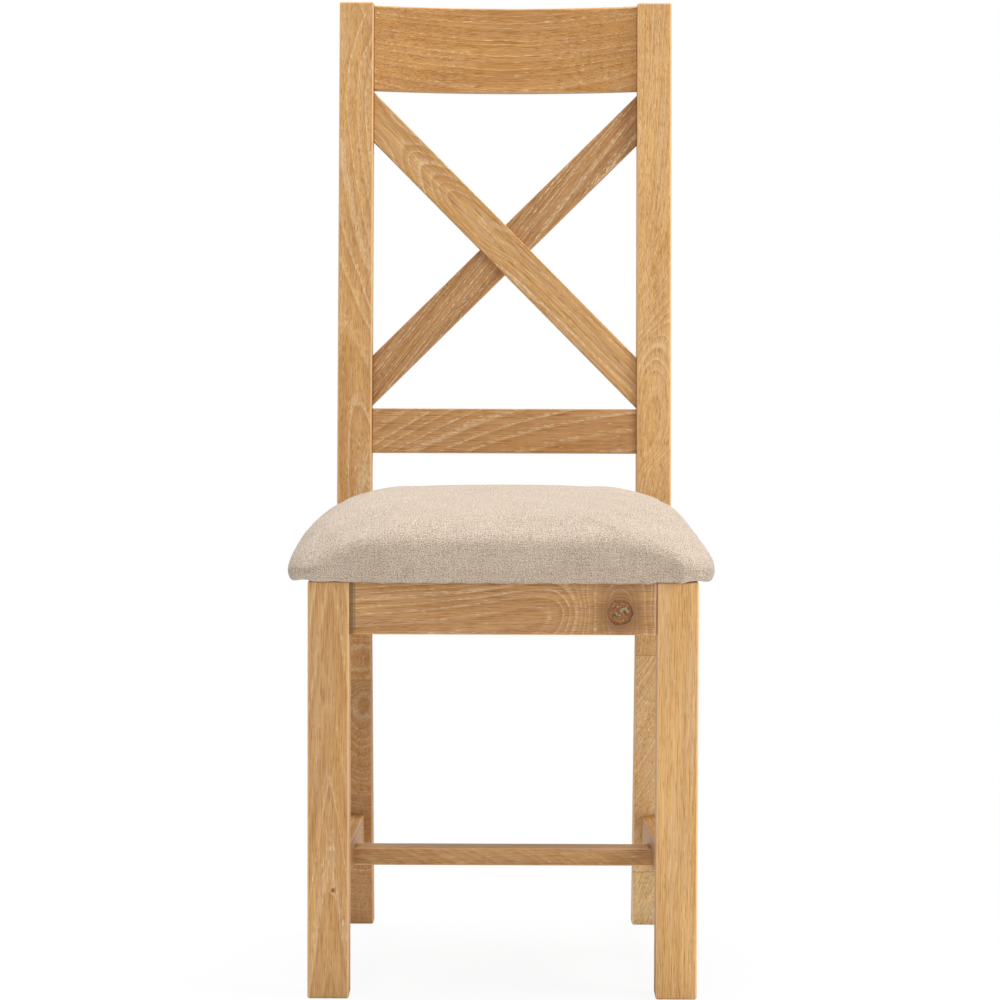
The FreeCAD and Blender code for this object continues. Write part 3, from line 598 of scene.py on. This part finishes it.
timber("front_leg_left", (-185, -223, 0), UP, RIGHT, (197, 155, 108),
    pith=(2, -26), swell=((0, 0), (445, 62)), spacing=12.5, pores=0.22, wander=2.4,
    tracks=0.4, knots=((116, 5.3, 3, 1.3),), seed=1)
timber("front_leg_right", (185, -223, 0), UP, RIGHT, (212, 171, 121),
    pith=(52, -30), swell=((0, 0), (445, 9)), spacing=4.2, pores=0.26, wander=1.8,
    tracks=0.2, seed=2)
timber("back_post_left", (-174, 150, 0), UP, RIGHT, (202, 159, 110),
    pith=(-42, -30), spacing=9.5, pores=0.62, wander=2.2, tracks=0.7,
    drift=((0, 70), (450, 62), (640, 42), (760, 8), (860, -12), (955, -18), (1000, -12),
           (1045, 6), (1075, 22)),
    swell=((0, 96), (300, -6), (302, 0)), swirls=((330, 16, 24),),
    # Below these glue lines the left rear leg is darker: partly its block's tone, partly painted
    # shade.
    glue=((391, (0.96, 0.90, 0.87), (0, 0, 0, 1.0)),
          (299.7, (0.88, 0.90, 0.96), (18, -7, 0, 2.6))), seed=3)
timber("back_post_right", (174, 150, 0), UP, RIGHT, (207, 165, 115),
    pith=(1, -17), spacing=4.2, pores=0.55, wander=1.4, tracks=0.75,
    drift=((300, -40), (540, -26), (575, -6), (625, 0), (680, 3), (720, 18), (780, 46),
           (860, 62), (1091, 60)),
    swell=((470, 16), (540, 12), (575, 6), (624, 0), (676, 6), (720, 14), (800, 20)),
    # Below these glue lines the right rear leg is lighter and bluer: partly its block's tone,
    # partly painted light.
    glue=((330.4, (1.10, 1.20, 1.36), (-20, 6, -0.4, 1.0)),
          (66.1, (1.02, 1.10, 1.18), (14, 9, 0.2, 1.0))), seed=4)
timber("front_rail", (0, -232.5, RAIL_LEVEL), RIGHT, UP, (182, 140, 98),
    pith=(0, 30), spacing=6.5, pores=0.4, tracks=0.6,
    drift=((-163, -36), (-40, -26), (30, -14), (80, -5), (163, -2)),
    knots=((123.5, -4.5, 34, 12.5),), gap=LEG_INNER, contrast=1.1,
    # Two dark bands paint the left leg's shadow on the set-back rail; the pale band paints a
    # highlight beside the right leg.
    strips=((-162.6, -159.0, (96, 76, 52), 0.75),
            (-159.0, -156.4, (126, 97, 64), 0.6),
            (159.6, 161.3, (206, 186, 160), 0.5)), seed=5)
timber("rear_rail", (0, 150, RAIL_LEVEL), RIGHT, UP, RAIL_TONE,
    pores=0.4, gap=POST_INNER, seed=6)
timber("side_rail_left", (-186, -35, RAIL_LEVEL), (0.04, 1, 0), UP, RAIL_TONE,
    pith=(-50, 40), pores=0.4, seed=7)
timber("side_rail_right", (186, -35, RAIL_LEVEL), (-0.04, 1, 0), UP, RAIL_TONE,
    pith=(60, -35), spacing=7.0, pores=0.45, seed=8)
timber("side_stretcher_left", (-180, 5, STRETCHER_LEVEL), (0.027, 1, 0), UP,
    (186, 140, 92), pith=(40, 30), spacing=5.0, pores=0.4, seed=9)
timber("side_stretcher_right", (180, 5, STRETCHER_LEVEL), (-0.027, 1, 0), UP,
    (198, 150, 98), pith=(-36, 34), spacing=5.0, pores=0.4, seed=10)
# Oak's tone, painted lighter by about half to offset the shade the stretcher lies in under the
# seat.
timber("cross_stretcher", (0, 47, 111), RIGHT, UP, (202, 160, 116),
    pith=(-24, 60), spacing=4.5, pores=0.3, wander=3.4, swell=((-160, -40), (160, 40)),
    tracks=0.1, seed=11)
timber("crest_rail", (0, 200, 1030), RIGHT, UP_BACK, (188, 141, 89),
    pith=(-86, 58), spacing=7.5, pores=0.42, wander=4.5, contrast=1.15, pore_length=22.0,
    gap=POST_INNER, tracks=0.3, worn=0.2, seed=12)
timber("lower_back_rail", (0, 145, 590), RIGHT, UP_BACK, (186, 142, 96),
    pith=(-92, 30), spacing=13.0, pores=0.7, gap=POST_INNER, tracks=0.7, worn=0.3,
    drift=((-170, -58), (-120, -26), (-60, 4), (0, 26), (80, 46), (170, 60)), seed=13)
timber("cross_slat_front", CROSS_CENTRE, slat_way(1), UP_BACK, (198, 156, 108),
    pith=(3, -22), pores=0.8, gap=POST_INNER, contrast=1.1, worn=0.25, tracks=0.8,
    drift=((-260, 0), (-70, 0), (40, 22), (260, 30)),
    swell=((-260, -10), (-212, 12), (-190, 12), (-150, 0), (-40, -26), (260, -34)),
    seed=14)
timber("cross_slat_rear", CROSS_CENTRE, slat_way(-1, 6.0), UP_BACK, (175, 133, 92),
    pith=(-44, 30), spacing=4.4, pores=1.1, pore_length=11.0, wander=2.2, gap=POST_INNER,
    contrast=1.2, tracks=0.9, worn=0.3, seed=15)
block_oak = oak("oak_blocks", (0, 0, 425), RIGHT, UP, (196, 160, 112), pores=0.25, contrast=1.3,
    seed=16)
for corner in ("front_left", "front_right", "rear_left", "rear_right"):
    dress("corner_block_" + corner, block_oak)
dress("seat_board", ply_material("birch_ply"))
dress("seat_foam", foam_material("pad_foam"))
screw_steel = dress("seat_screws", steel_material("zinc_steel"))
pad_linen = dress("seat_cover", linen("pad_linen", LINEN_TONE))
dust_cloth = dress("seat_dust_cover", dust_cloth_material("dust_cloth"))


# Meshes


def placed(name, data):
    """A new object in the scene."""
    made = bpy.data.objects.new(name, data)
    scene.collection.objects.link(made)
    return made


def mesh_object(name, points, faces):
    mesh = bpy.data.meshes.new(name)
    mesh.from_pydata([tuple(p) for p in np.asarray(points) * MM], [], faces)
    mesh.validate()
    mesh.update()
    return placed(name, mesh)


def mesh_points(mesh):
    flat = np.empty(len(mesh.vertices) * 3)
    mesh.vertices.foreach_get("co", flat)
    return flat.reshape(-1, 3) / MM


def move_points(mesh, points):
    mesh.vertices.foreach_set("co", (np.asarray(points) * MM).ravel())
    mesh.update()


def settle(piece):
    """Applies an object's modifiers to its mesh."""
    graph = bpy.context.evaluated_depsgraph_get()
    graph.update()
    final = bpy.data.meshes.new_from_object(piece.evaluated_get(graph), depsgraph=graph)
    piece.modifiers.clear()
    piece.data = final


def cut_away(piece, *tools):
    """Takes the tools' forms out of a piece and deletes the tools."""
    for tool in tools:
        cut = piece.modifiers.new("cut", "BOOLEAN")
        cut.operation, cut.solver, cut.object = "DIFFERENCE", "EXACT", tool
    settle(piece)
    for tool in tools:
        bpy.data.objects.remove(tool)


def box_points(low, high):
    points = [(x, y, z) for z in (low[2], high[2]) for y in (low[1], high[1])
              for x in (low[0], high[0])]
    faces = [(0, 2, 3, 1), (4, 5, 7, 6), (0, 1, 5, 4), (2, 6, 7, 3), (0, 4, 6, 2), (1, 3, 7, 5)]
    return points, faces


def stacked_faces(size, count):
    """Faces between count rings of size points each, closed at both ends."""
    faces = [(r * size + i, r * size + (i + 1) % size, (r + 1) * size + (i + 1) % size,
              (r + 1) * size + i) for r in range(count - 1) for i in range(size)]
    faces.append(tuple(range(size - 1, -1, -1)))
    faces.append(tuple((count - 1) * size + i for i in range(size)))
    return faces


def spun(points, angle):
    """Points turned about the upright line through the origin."""
    x, y, z = np.asarray(points, float).T
    return np.column_stack([x * math.cos(angle) - y * math.sin(angle),
                            x * math.sin(angle) + y * math.cos(angle), z])


def fade(value, low, high):
    """0 at low and before it, 1 at high and past it; low may be the larger."""
    share = np.clip((value - low) / (high - low), 0, 1)
    return share * share * (3 - 2 * share)


def wave(place, depth, length, phase):
    return depth * np.sin(place * math.tau / length + phase)


# The seat pad

PAD = {"half_front": 226, "half_rear": 212, "front": -259.5, "rear": 170, "base": 445.8,
       "belly": 458, "roll": 9, "roll_power": 0.55, "crown": 77, "dome": 160, "dome_power": 0.72,
       "front_reach": 204, "front_power": 4.5, "rear_reach": 150, "rear_power": 3, "corner": 36,
       "swell": 45, "draw": 2.5, "slack": 1.5}
ROLL_LEVELS, CROWN_LEVELS, CORNER_POINTS, SIDE_POINTS = 7, 40, 15, 62
CROWN_ANGLE = 86
NOTCH_GAP = 2.5
PAST_PAD, UNDER_PAD, OVER_PAD = 300, 400, 600
PAD_VOXEL = 4

# The stuffing: Blender's cloth settings, its frames, what is held and how far a point may go
STUFFING = {"use_pressure": True, "uniform_pressure_force": 4, "quality": 5, "mass": 0.3,
            "tension_stiffness": 25, "compression_stiffness": 25, "shear_stiffness": 8,
            "bending_stiffness": 1.0}
STUFFING_FRAMES = 20
HELD_HEIGHT = 1.2
STUFFING_CAP = 4.0

# Parts of the pad, each as the range over which a shaping move fades in
FRONT_FACE, SIDE_FACE, SIDE_PART = (246.4, 250), (208.5, 212), (120, 210)
LOW_PART, LOW_FRONT, CROWN_PART = (470, 449), (476, 452), (480, 532)
MIDDLE_FROM_LEFT, MIDDLE_FROM_RIGHT, RIGHT_PART = (-172, -120), (168, 140), (120, 150)
SHOULDER_INSIDE, SHOULDER_OUTSIDE, SHOULDER_LEVEL = (85, 125), (-205, -165), (500, 520)
TOP_PART = (500, 530)

# How far it moves there: the lip over the rail, its gathers as waves, and the crown
LIP_DIP, LIP_DIP_MIDDLE, SIDE_LIP, CROWN_DROP, SHOULDER_RISE = 1.6, 1.8, 2.4, 2.2, 2.2
RIGHT_GATHERS, WIDE_GATHERS, FINE_GATHERS = (0.8, 16.8, 1.0), (0.45, 31, 2.0), (0.3, 13.1, 0.0)
GATHERS_FORWARD = 0.5
UNEVEN_TOP = 0.45

# How much fuller each side is than the plain form, at heights from the base to the crown
SIDE_HEIGHTS = (446, 451, 456, 467, 478, 488, 499, 509, 520, 532)
LEFT_FULLER = (8.0, 8.2, 8.0, 7.6, 5.8, 4.5, 4.8, 7.6, 13.0, 9.0)
RIGHT_FULLER = (2.4, 3.0, 3.2, 3.4, 0.3, -2.7, -2.0, 2.6, 11.0, 8.0)


def arc_points(centre, start, turn, radius, count):
    angles = start + turn * np.linspace(0, 1, count)
    return np.stack([centre[0] + radius * np.cos(angles), centre[1] + radius * np.sin(angles)], 1)


def pad_outline(insets, radius):
    """The pad's plan at one level: rounded corners and sides drawn in between them."""
    side_in, front_in, rear_in = (inset + PAD["slack"] for inset in insets)
    front_half, rear_half = PAD["half_front"] - side_in, PAD["half_rear"] - side_in
    front, rear = PAD["front"] + front_in, PAD["rear"] - rear_in
    corners = [Vector((-front_half, front)), Vector((front_half, front)),
               Vector((rear_half, rear)), Vector((-rear_half, rear))]
    arcs = []
    for index, point in enumerate(corners):
        before = (point - corners[index - 1]).normalized()
        after = (corners[(index + 1) % 4] - point).normalized()
        half_turn = before.angle(after) / 2
        centre = point + (after - before).normalized() * (radius / math.cos(half_turn))
        start = math.atan2(-before.x, before.y)
        arcs.append(arc_points(centre, start, half_turn * 2, radius, CORNER_POINTS))
    loop = []
    for index, arc in enumerate(arcs):
        start, end = arc[-1], arcs[(index + 1) % 4][0]
        share = np.linspace(0, 1, SIDE_POINTS)[1:-1, None]
        inward = np.array([-(end - start)[1], (end - start)[0]])
        inward = inward / np.linalg.norm(inward)
        side = start + (end - start) * share
        loop += [arc, side + inward * PAD["draw"] * np.sin(share * math.pi)]
    return np.concatenate(loop)


def pad_levels():
    """Height, insets and corner of each level, from the base, round the belly, over the crown."""
    levels = []
    for step in np.linspace(math.pi / 2, 0, ROLL_LEVELS):
        inset = PAD["roll"] * (1 - math.cos(step) ** PAD["roll_power"])
        height = PAD["belly"] - (PAD["belly"] - PAD["base"]) * math.sin(step)
        levels.append((height, (inset, inset, inset), PAD["corner"]))
    for step in np.radians(np.linspace(0, CROWN_ANGLE, CROWN_LEVELS))[1:]:
        rise = math.sin(step)
        insets = (PAD["dome"] * (1 - math.cos(step) ** PAD["dome_power"]),
                  PAD["front_reach"] * rise ** PAD["front_power"],
                  PAD["rear_reach"] * rise ** PAD["rear_power"])
        corner = PAD["corner"] + PAD["swell"] * 4 * rise * (1 - rise)
        levels.append((PAD["belly"] + (PAD["crown"] - PAD["slack"]) * rise, insets, corner))
    return levels


def pad_form():
    """The pad without its notches, as rings of points closed at the top and the base."""
    rings = []
    for height, insets, corner in pad_levels():
        plan = pad_outline(insets, corner)
        rings.append(np.column_stack([plan, np.full(len(plan), height)]))
    top = rings[-1]
    middle = top.mean(0) * np.array([1, 1, 0])
    for share in (0.75, 0.5, 0.25):
        rings.append(middle + (top - middle) * np.array([share, share, 1]))
    return np.concatenate(rings), stacked_faces(len(top), len(rings))


def post_blocks():
    """Blocks where the back posts pass the pad, with a small gap round each post."""
    near, front = POST_INNER - NOTCH_GAP, POST_FRONT - NOTCH_GAP
    shapes = [box_points((left, front, UNDER_PAD), (right, PAST_PAD, OVER_PAD))
              for left, right in ((-PAST_PAD, -near), (near, PAST_PAD))]
    return [mesh_object("notch", *shape) for shape in shapes]


def stuff(pad):
    """Swells the cover with a cloth simulation, held flat at its base, and capped."""
    start = mesh_points(pad.data)
    held = pad.vertex_groups.new(name="held")
    at_base = np.nonzero(start[:, 2] < PAD["base"] + HELD_HEIGHT)[0]
    held.add([int(i) for i in at_base], 1.0, "REPLACE")
    cloth = pad.modifiers.new("stuffing", "CLOTH")
    cloth.settings.vertex_group_mass = "held"
    for setting, value in STUFFING.items():
        setattr(cloth.settings, setting, value)
    cloth.settings.effector_weights.gravity = 0
    cloth.collision_settings.use_collision = False
    cloth.point_cache.frame_start, cloth.point_cache.frame_end = 1, STUFFING_FRAMES
    for number in range(1, STUFFING_FRAMES + 1):
        scene.frame_set(number)
    settle(pad)
    scene.frame_set(1)
    moved = mesh_points(pad.data) - start
    reach = np.linalg.norm(moved, axis=1, keepdims=True)
    moved *= np.tanh(reach / STUFFING_CAP) * STUFFING_CAP / np.maximum(reach, 1e-6)
    move_points(pad.data, start + moved)
    pad.vertex_groups.clear()


def shape_lip(points, x, y, z):
    """Lets the roll hang a little over the rails, gathered along the front."""
    in_front = fade(-y, *FRONT_FACE)
    low_down = fade(z, *LOW_PART)
    middle = fade(x, *MIDDLE_FROM_LEFT) * fade(x, *MIDDLE_FROM_RIGHT)
    gathers = wave(x, *RIGHT_GATHERS) * fade(x, *RIGHT_PART)
    gathers += wave(x, *WIDE_GATHERS) + wave(x, *FINE_GATHERS)
    points[:, 2] -= in_front * low_down * (LIP_DIP + LIP_DIP_MIDDLE * middle + gathers)
    points[:, 1] -= in_front * fade(z, *LOW_FRONT) * GATHERS_FORWARD * gathers
    at_side = fade(np.abs(x), *SIDE_FACE) * (1 - in_front)
    points[:, 2] -= at_side * low_down * SIDE_LIP


def shape_sides(points, x, z):
    """Fills out the two sides, each in its own way."""
    points[:, 0] -= fade(-x, *SIDE_PART) * np.interp(z, SIDE_HEIGHTS, LEFT_FULLER)
    points[:, 0] += fade(x, *SIDE_PART) * np.interp(z, SIDE_HEIGHTS, RIGHT_FULLER)


def shape_crown(points, x, y, z):
    """Lowers the crown, keeps its shoulders up and makes the top uneven."""
    points[:, 2] -= CROWN_DROP * fade(z, *CROWN_PART)
    shoulder = fade(np.abs(x), *SHOULDER_INSIDE) * fade(-np.abs(x), *SHOULDER_OUTSIDE)
    points[:, 2] += SHOULDER_RISE * shoulder * fade(z, *SHOULDER_LEVEL)
    wide = np.sin(x / 47 + 1.3) * np.sin(y / 39 + 0.4) + 0.6 * np.sin(x / 23 - y / 31 + 2.0)
    points[:, 2] += UNEVEN_TOP * wide * fade(z, *TOP_PART)


def seat_pad():
    """A crowned closed form, notched round the posts, stuffed and then shaped."""
    pad = mesh_object("seat_pad", *pad_form())
    cut_away(pad, *post_blocks())
    remesh = pad.modifiers.new("even_mesh", "REMESH")
    remesh.mode = "VOXEL"
    remesh.voxel_size = PAD_VOXEL * MM
    soften = pad.modifiers.new("soften", "SMOOTH")
    soften.iterations = 3
    settle(pad)
    stuff(pad)
    points = mesh_points(pad.data)
    x, y, z = points.T.copy()
    shape_lip(points, x, y, z)
    shape_sides(points, x, z)
    shape_crown(points, x, y, z)
    move_points(pad.data, points)
    pad.data.shade_smooth()
    finer = pad.modifiers.new("finer", "SUBSURF")
    finer.levels = finer.render_levels = 1
    return pad


pad = seat_pad()
pad.data.materials.append(pad_linen)
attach(pad, "root")
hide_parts("seat_cover", "seat_foam")


# The dust cloth, stretched under the seat board

DUST = {"half_front": 206, "half_rear": 192, "front": -239.5, "rear": 150, "corner": 36,
        "draw": 2.5, "notch_inner": 149.5, "notch_front": 126.5, "level": 445.4,
        "thickness": 0.5, "sag": 1.6, "sag_middle": -45, "sag_reach": 135, "ripple": 0.12}
CORNER_ROWS, OPEN_ROWS, NOTCHED_ROWS, DUST_COLUMNS = 9, 44, 5, 53
NOTCH_STEP = 0.05


def dust_half_width(y):
    share = (y - DUST["front"]) / (DUST["rear"] - DUST["front"])
    half = DUST["half_front"] + (DUST["half_rear"] - DUST["half_front"]) * share
    half = half - DUST["draw"] * math.sin(math.pi * share)
    into_corner = DUST["corner"] - (y - DUST["front"])
    if into_corner > 0:
        half -= DUST["corner"] - math.sqrt(max(DUST["corner"] ** 2 - into_corner ** 2, 0))
    return min(half, DUST["notch_inner"]) if y > DUST["notch_front"] else half


def dust_height(x, y):
    """The cloth's level: a slight sag in the middle, small ripples near its edges."""
    bowl = max(0.0, 1 - (x / DUST["sag_reach"]) ** 2)
    bowl *= max(0.0, 1 - ((y - DUST["sag_middle"]) / DUST["sag_reach"]) ** 2)
    ripple = DUST["ripple"] * math.sin(x / 9 + y / 40) * math.sin(y / 13) * (1 - bowl)
    return DUST["level"] - DUST["sag"] * bowl + ripple


def dust_sheet():
    """The sheet, and its area in square metres."""
    front, corner, notch = DUST["front"], DUST["corner"], DUST["notch_front"]
    rows = [front + corner * (1 - math.cos(a)) for a in np.linspace(0, math.pi / 2, CORNER_ROWS)]
    rows += list(np.linspace(front + corner, notch, OPEN_ROWS)[1:])
    rows += list(np.linspace(notch + NOTCH_STEP, DUST["rear"], NOTCHED_ROWS))
    shares = np.linspace(-1, 1, DUST_COLUMNS)
    points = []
    for y in rows:
        half = dust_half_width(y)
        points += [(half * share, y, dust_height(half * share, y)) for share in shares]
    area = 0.0
    for low, high in zip(rows, rows[1:]):
        area += (high - low) * (dust_half_width(low) + dust_half_width(high)) * MM * MM
    wide = len(shares)
    faces = [(r * wide + c, r * wide + c + 1, (r + 1) * wide + c + 1, (r + 1) * wide + c)
             for r in range(len(rows) - 1) for c in range(wide - 1)]
    sheet = mesh_object("dust_cloth_sheet", points, faces)
    sheet.data.shade_smooth()
    thick = sheet.modifiers.new("thickness", "SOLIDIFY")
    thick.thickness, thick.offset = DUST["thickness"] * MM, 0
    return sheet, area


sheet, sheet_area = dust_sheet()
sheet.data.materials.append(dust_cloth)
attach(sheet, "root")
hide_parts("seat_dust_cover")


# The seat screws, with domed heads, cross recesses and threads

HEAD_PROFILE = ((4.2, 0.0), (4.2, -0.5), (3.95, -1.25), (3.3, -1.9), (2.3, -2.35), (1.1, -2.58))
HEAD_HEIGHT = 2.6
SHANK_LENGTH, PLAIN_LENGTH, TIP_LENGTH = 52, 8, 6
SCREW_PITCH, ROOT_RADIUS, CREST_RADIUS = 1.8, 1.45, 1.95
TIP_PROFILE = ((0.9, SHANK_LENGTH - 2), (0.15, SHANK_LENGTH))
LATHE_COUNT = 28
RECESS_BAR = ((-2.3, -0.5, -3.2), (2.3, 0.5, -1.0))
SEAT_MIDDLE = -40
SHARP_ANGLE = math.radians(35)


def screw_profile():
    """(radius, height) from the head's top, up the threads to the tip."""
    profile = list(reversed(HEAD_PROFILE)) + [(ROOT_RADIUS, 0.0)]
    for number in range(int((SHANK_LENGTH - PLAIN_LENGTH - TIP_LENGTH) / SCREW_PITCH)):
        start = PLAIN_LENGTH + number * SCREW_PITCH
        profile += [(ROOT_RADIUS, start), (CREST_RADIUS, start + SCREW_PITCH * 0.45),
                    (ROOT_RADIUS, start + SCREW_PITCH * 0.9)]
    return profile + list(TIP_PROFILE)


def lathe(profile):
    """Rings of points round the upright line through the origin, closed at both ends."""
    turns = np.linspace(0, math.tau, LATHE_COUNT, endpoint=False)
    points = [(r * math.cos(t), r * math.sin(t), z) for r, z in profile for t in turns]
    return points, stacked_faces(LATHE_COUNT, len(profile))


def recessed_screw():
    """One screw standing on the origin, its cross recess cut into the head."""
    screw = mesh_object("seat_screw", *lathe(screw_profile()))
    bar, bar_faces = box_points(*RECESS_BAR)
    for spin in (0, math.pi / 2):
        cut_away(screw, mesh_object("recess", spun(bar, spin), bar_faces))
    points = mesh_points(screw.data)
    faces = [tuple(face.vertices) for face in screw.data.polygons]
    bpy.data.objects.remove(screw)
    return points, faces


def seat_screws():
    """The four screws as one mesh, each on its CAD solid and turned by its own angle."""
    solid = mesh_points(nodes["seat_screws"].data)
    base = solid[:, 2].min() + HEAD_HEIGHT
    one, one_faces = recessed_screw()
    points, faces = [], []
    for side_x in (-1, 1):
        for side_y in (-1, 1):
            near = solid[(solid[:, 0] * side_x > 0) & ((solid[:, 1] - SEAT_MIDDLE) * side_y > 0)]
            middle = (near.min(0) + near.max(0)) / 2
            faces += [tuple(i + len(points) for i in face) for face in one_faces]
            turned = spun(one, side_x * 0.4 + side_y * 0.7)
            points += list(turned + np.array([middle[0], middle[1], base]))
    screws = mesh_object("seat_screw_set", points, faces)
    screws.data.shade_smooth()
    screws.data.set_sharp_from_angle(angle=SHARP_ANGLE)
    return screws


screws = seat_screws()
screws.data.materials.append(screw_steel)
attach(screws, "root")
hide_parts("seat_screws")


# Floor, light and camera

FLOOR_BOX = ((-9000, -9000, -20), (9000, 9000, -0.4))
SHADOW_SHARE, SHADOW_FULL, SHADOW_GONE = 0.07, 0.5, 1.6
PAPER = (0.86, 0.86, 0.86, 1.0)
WHITE, WARM_WHITE = (1, 1, 1, 1), (1.0, 0.99, 0.97, 1)
AMBIENT = 0.21

# The camera, in metres and radians, and its focal length in the photograph's pixels
CAMERA_PLACE = (0.0029, -4.045, 0.7284)
CAMERA_YAW_DOWN_ROLL = (-0.0018, 0.0518, 0.0034)
FOCAL_PIXELS, PICTURE_PIXELS, SENSOR_WIDTH = 3606.6, 1000, 36


def stage_floor():
    """A floor that the camera sees as white, with a little shadow near the chair."""
    floor = mesh_object("floor", *box_points(*FLOOR_BOX))
    g = new_graph("pale_floor")
    where = g.add("TexCoord", output="Object")
    away = g.add("VectorMath", {0: where}, "Value", operation="LENGTH")
    near = g.ramp(away, SHADOW_FULL, SHADOW_GONE, SHADOW_SHARE, 0.0)
    seen = g.add("LightPath", output="Is Camera Ray")
    paper = g.add("BsdfDiffuse", {"Color": PAPER})
    glow = g.add("Emission", {"Color": WHITE, "Strength": 1.0})
    white = g.add("MixShader", {0: near, 1: glow, 2: paper})
    final = g.add("MixShader", {0: seen, 1: paper, 2: white})
    g.node("OutputMaterial", {0: final})
    floor.data.materials.append(g.owner)


def white_world():
    """White to the camera and to glossy and clear surfaces, a soft light to all else."""
    world = bpy.data.worlds.new("studio")
    scene.world = world
    g = Graph(world)
    path = g.node("LightPath")
    shown = path.outputs["Is Camera Ray"]
    for other in ("Is Glossy Ray", "Is Transmission Ray"):
        shown = g.math("MAXIMUM", shown, path.outputs[other])
    soft = g.add("Background", {"Color": WARM_WHITE, "Strength": AMBIENT})
    plain = g.add("Background", {"Color": WHITE})
    mixed = g.add("MixShader", {0: shown, 1: soft, 2: plain})
    g.node("OutputWorld", {0: mixed})


def soft_box(name, place, aim, size, power, colour):
    data = bpy.data.lights.new(name, "AREA")
    data.shape = "RECTANGLE"
    data.size, data.size_y = size
    data.energy = power
    data.color = colour
    lamp = placed(name, data)
    lamp.location = place
    lamp.rotation_euler = (Vector(aim) - Vector(place)).to_track_quat("-Z", "Y").to_euler()


def camera():
    """The photograph's camera: in front, above the seat, looking slightly down."""
    yaw, down, roll = CAMERA_YAW_DOWN_ROLL
    ahead = Vector((math.sin(yaw), math.cos(yaw), 0))
    level = Vector((math.cos(yaw), -math.sin(yaw), 0))
    forward = ahead * math.cos(down) - Vector(UP) * math.sin(down)
    above = ahead * math.sin(down) + Vector(UP) * math.cos(down)
    right = level * math.cos(roll) + above * math.sin(roll)
    up = above * math.cos(roll) - level * math.sin(roll)
    data = bpy.data.cameras.new("photo_camera")
    data.sensor_width = SENSOR_WIDTH
    data.lens = FOCAL_PIXELS / PICTURE_PIXELS * SENSOR_WIDTH
    data.clip_start, data.clip_end = 0.05, 60
    made = placed("photo_camera", data)
    made.matrix_world = Matrix.Translation(CAMERA_PLACE) @ Matrix(
        (right, up, -forward)).transposed().to_4x4()
    scene.camera = made


stage_floor()
white_world()
soft_box("key", (-0.9, -3.9, 1.15), aim=(0, 0, 0.55), size=(1.8, 1.8), power=29,
    colour=(1.0, 0.97, 0.93))
soft_box("fill", (3.0, -1.5, 1.9), aim=(0, 0, 0.5), size=(1.4, 1.6), power=68,
    colour=(1.0, 0.99, 0.97))
soft_box("top", (-0.1, 0.35, 4.4), aim=(0, 0, 0.4), size=(3.6, 2.2), power=234,
    colour=(0.98, 0.99, 1.02))
camera()
scene.view_settings.view_transform = "Standard"
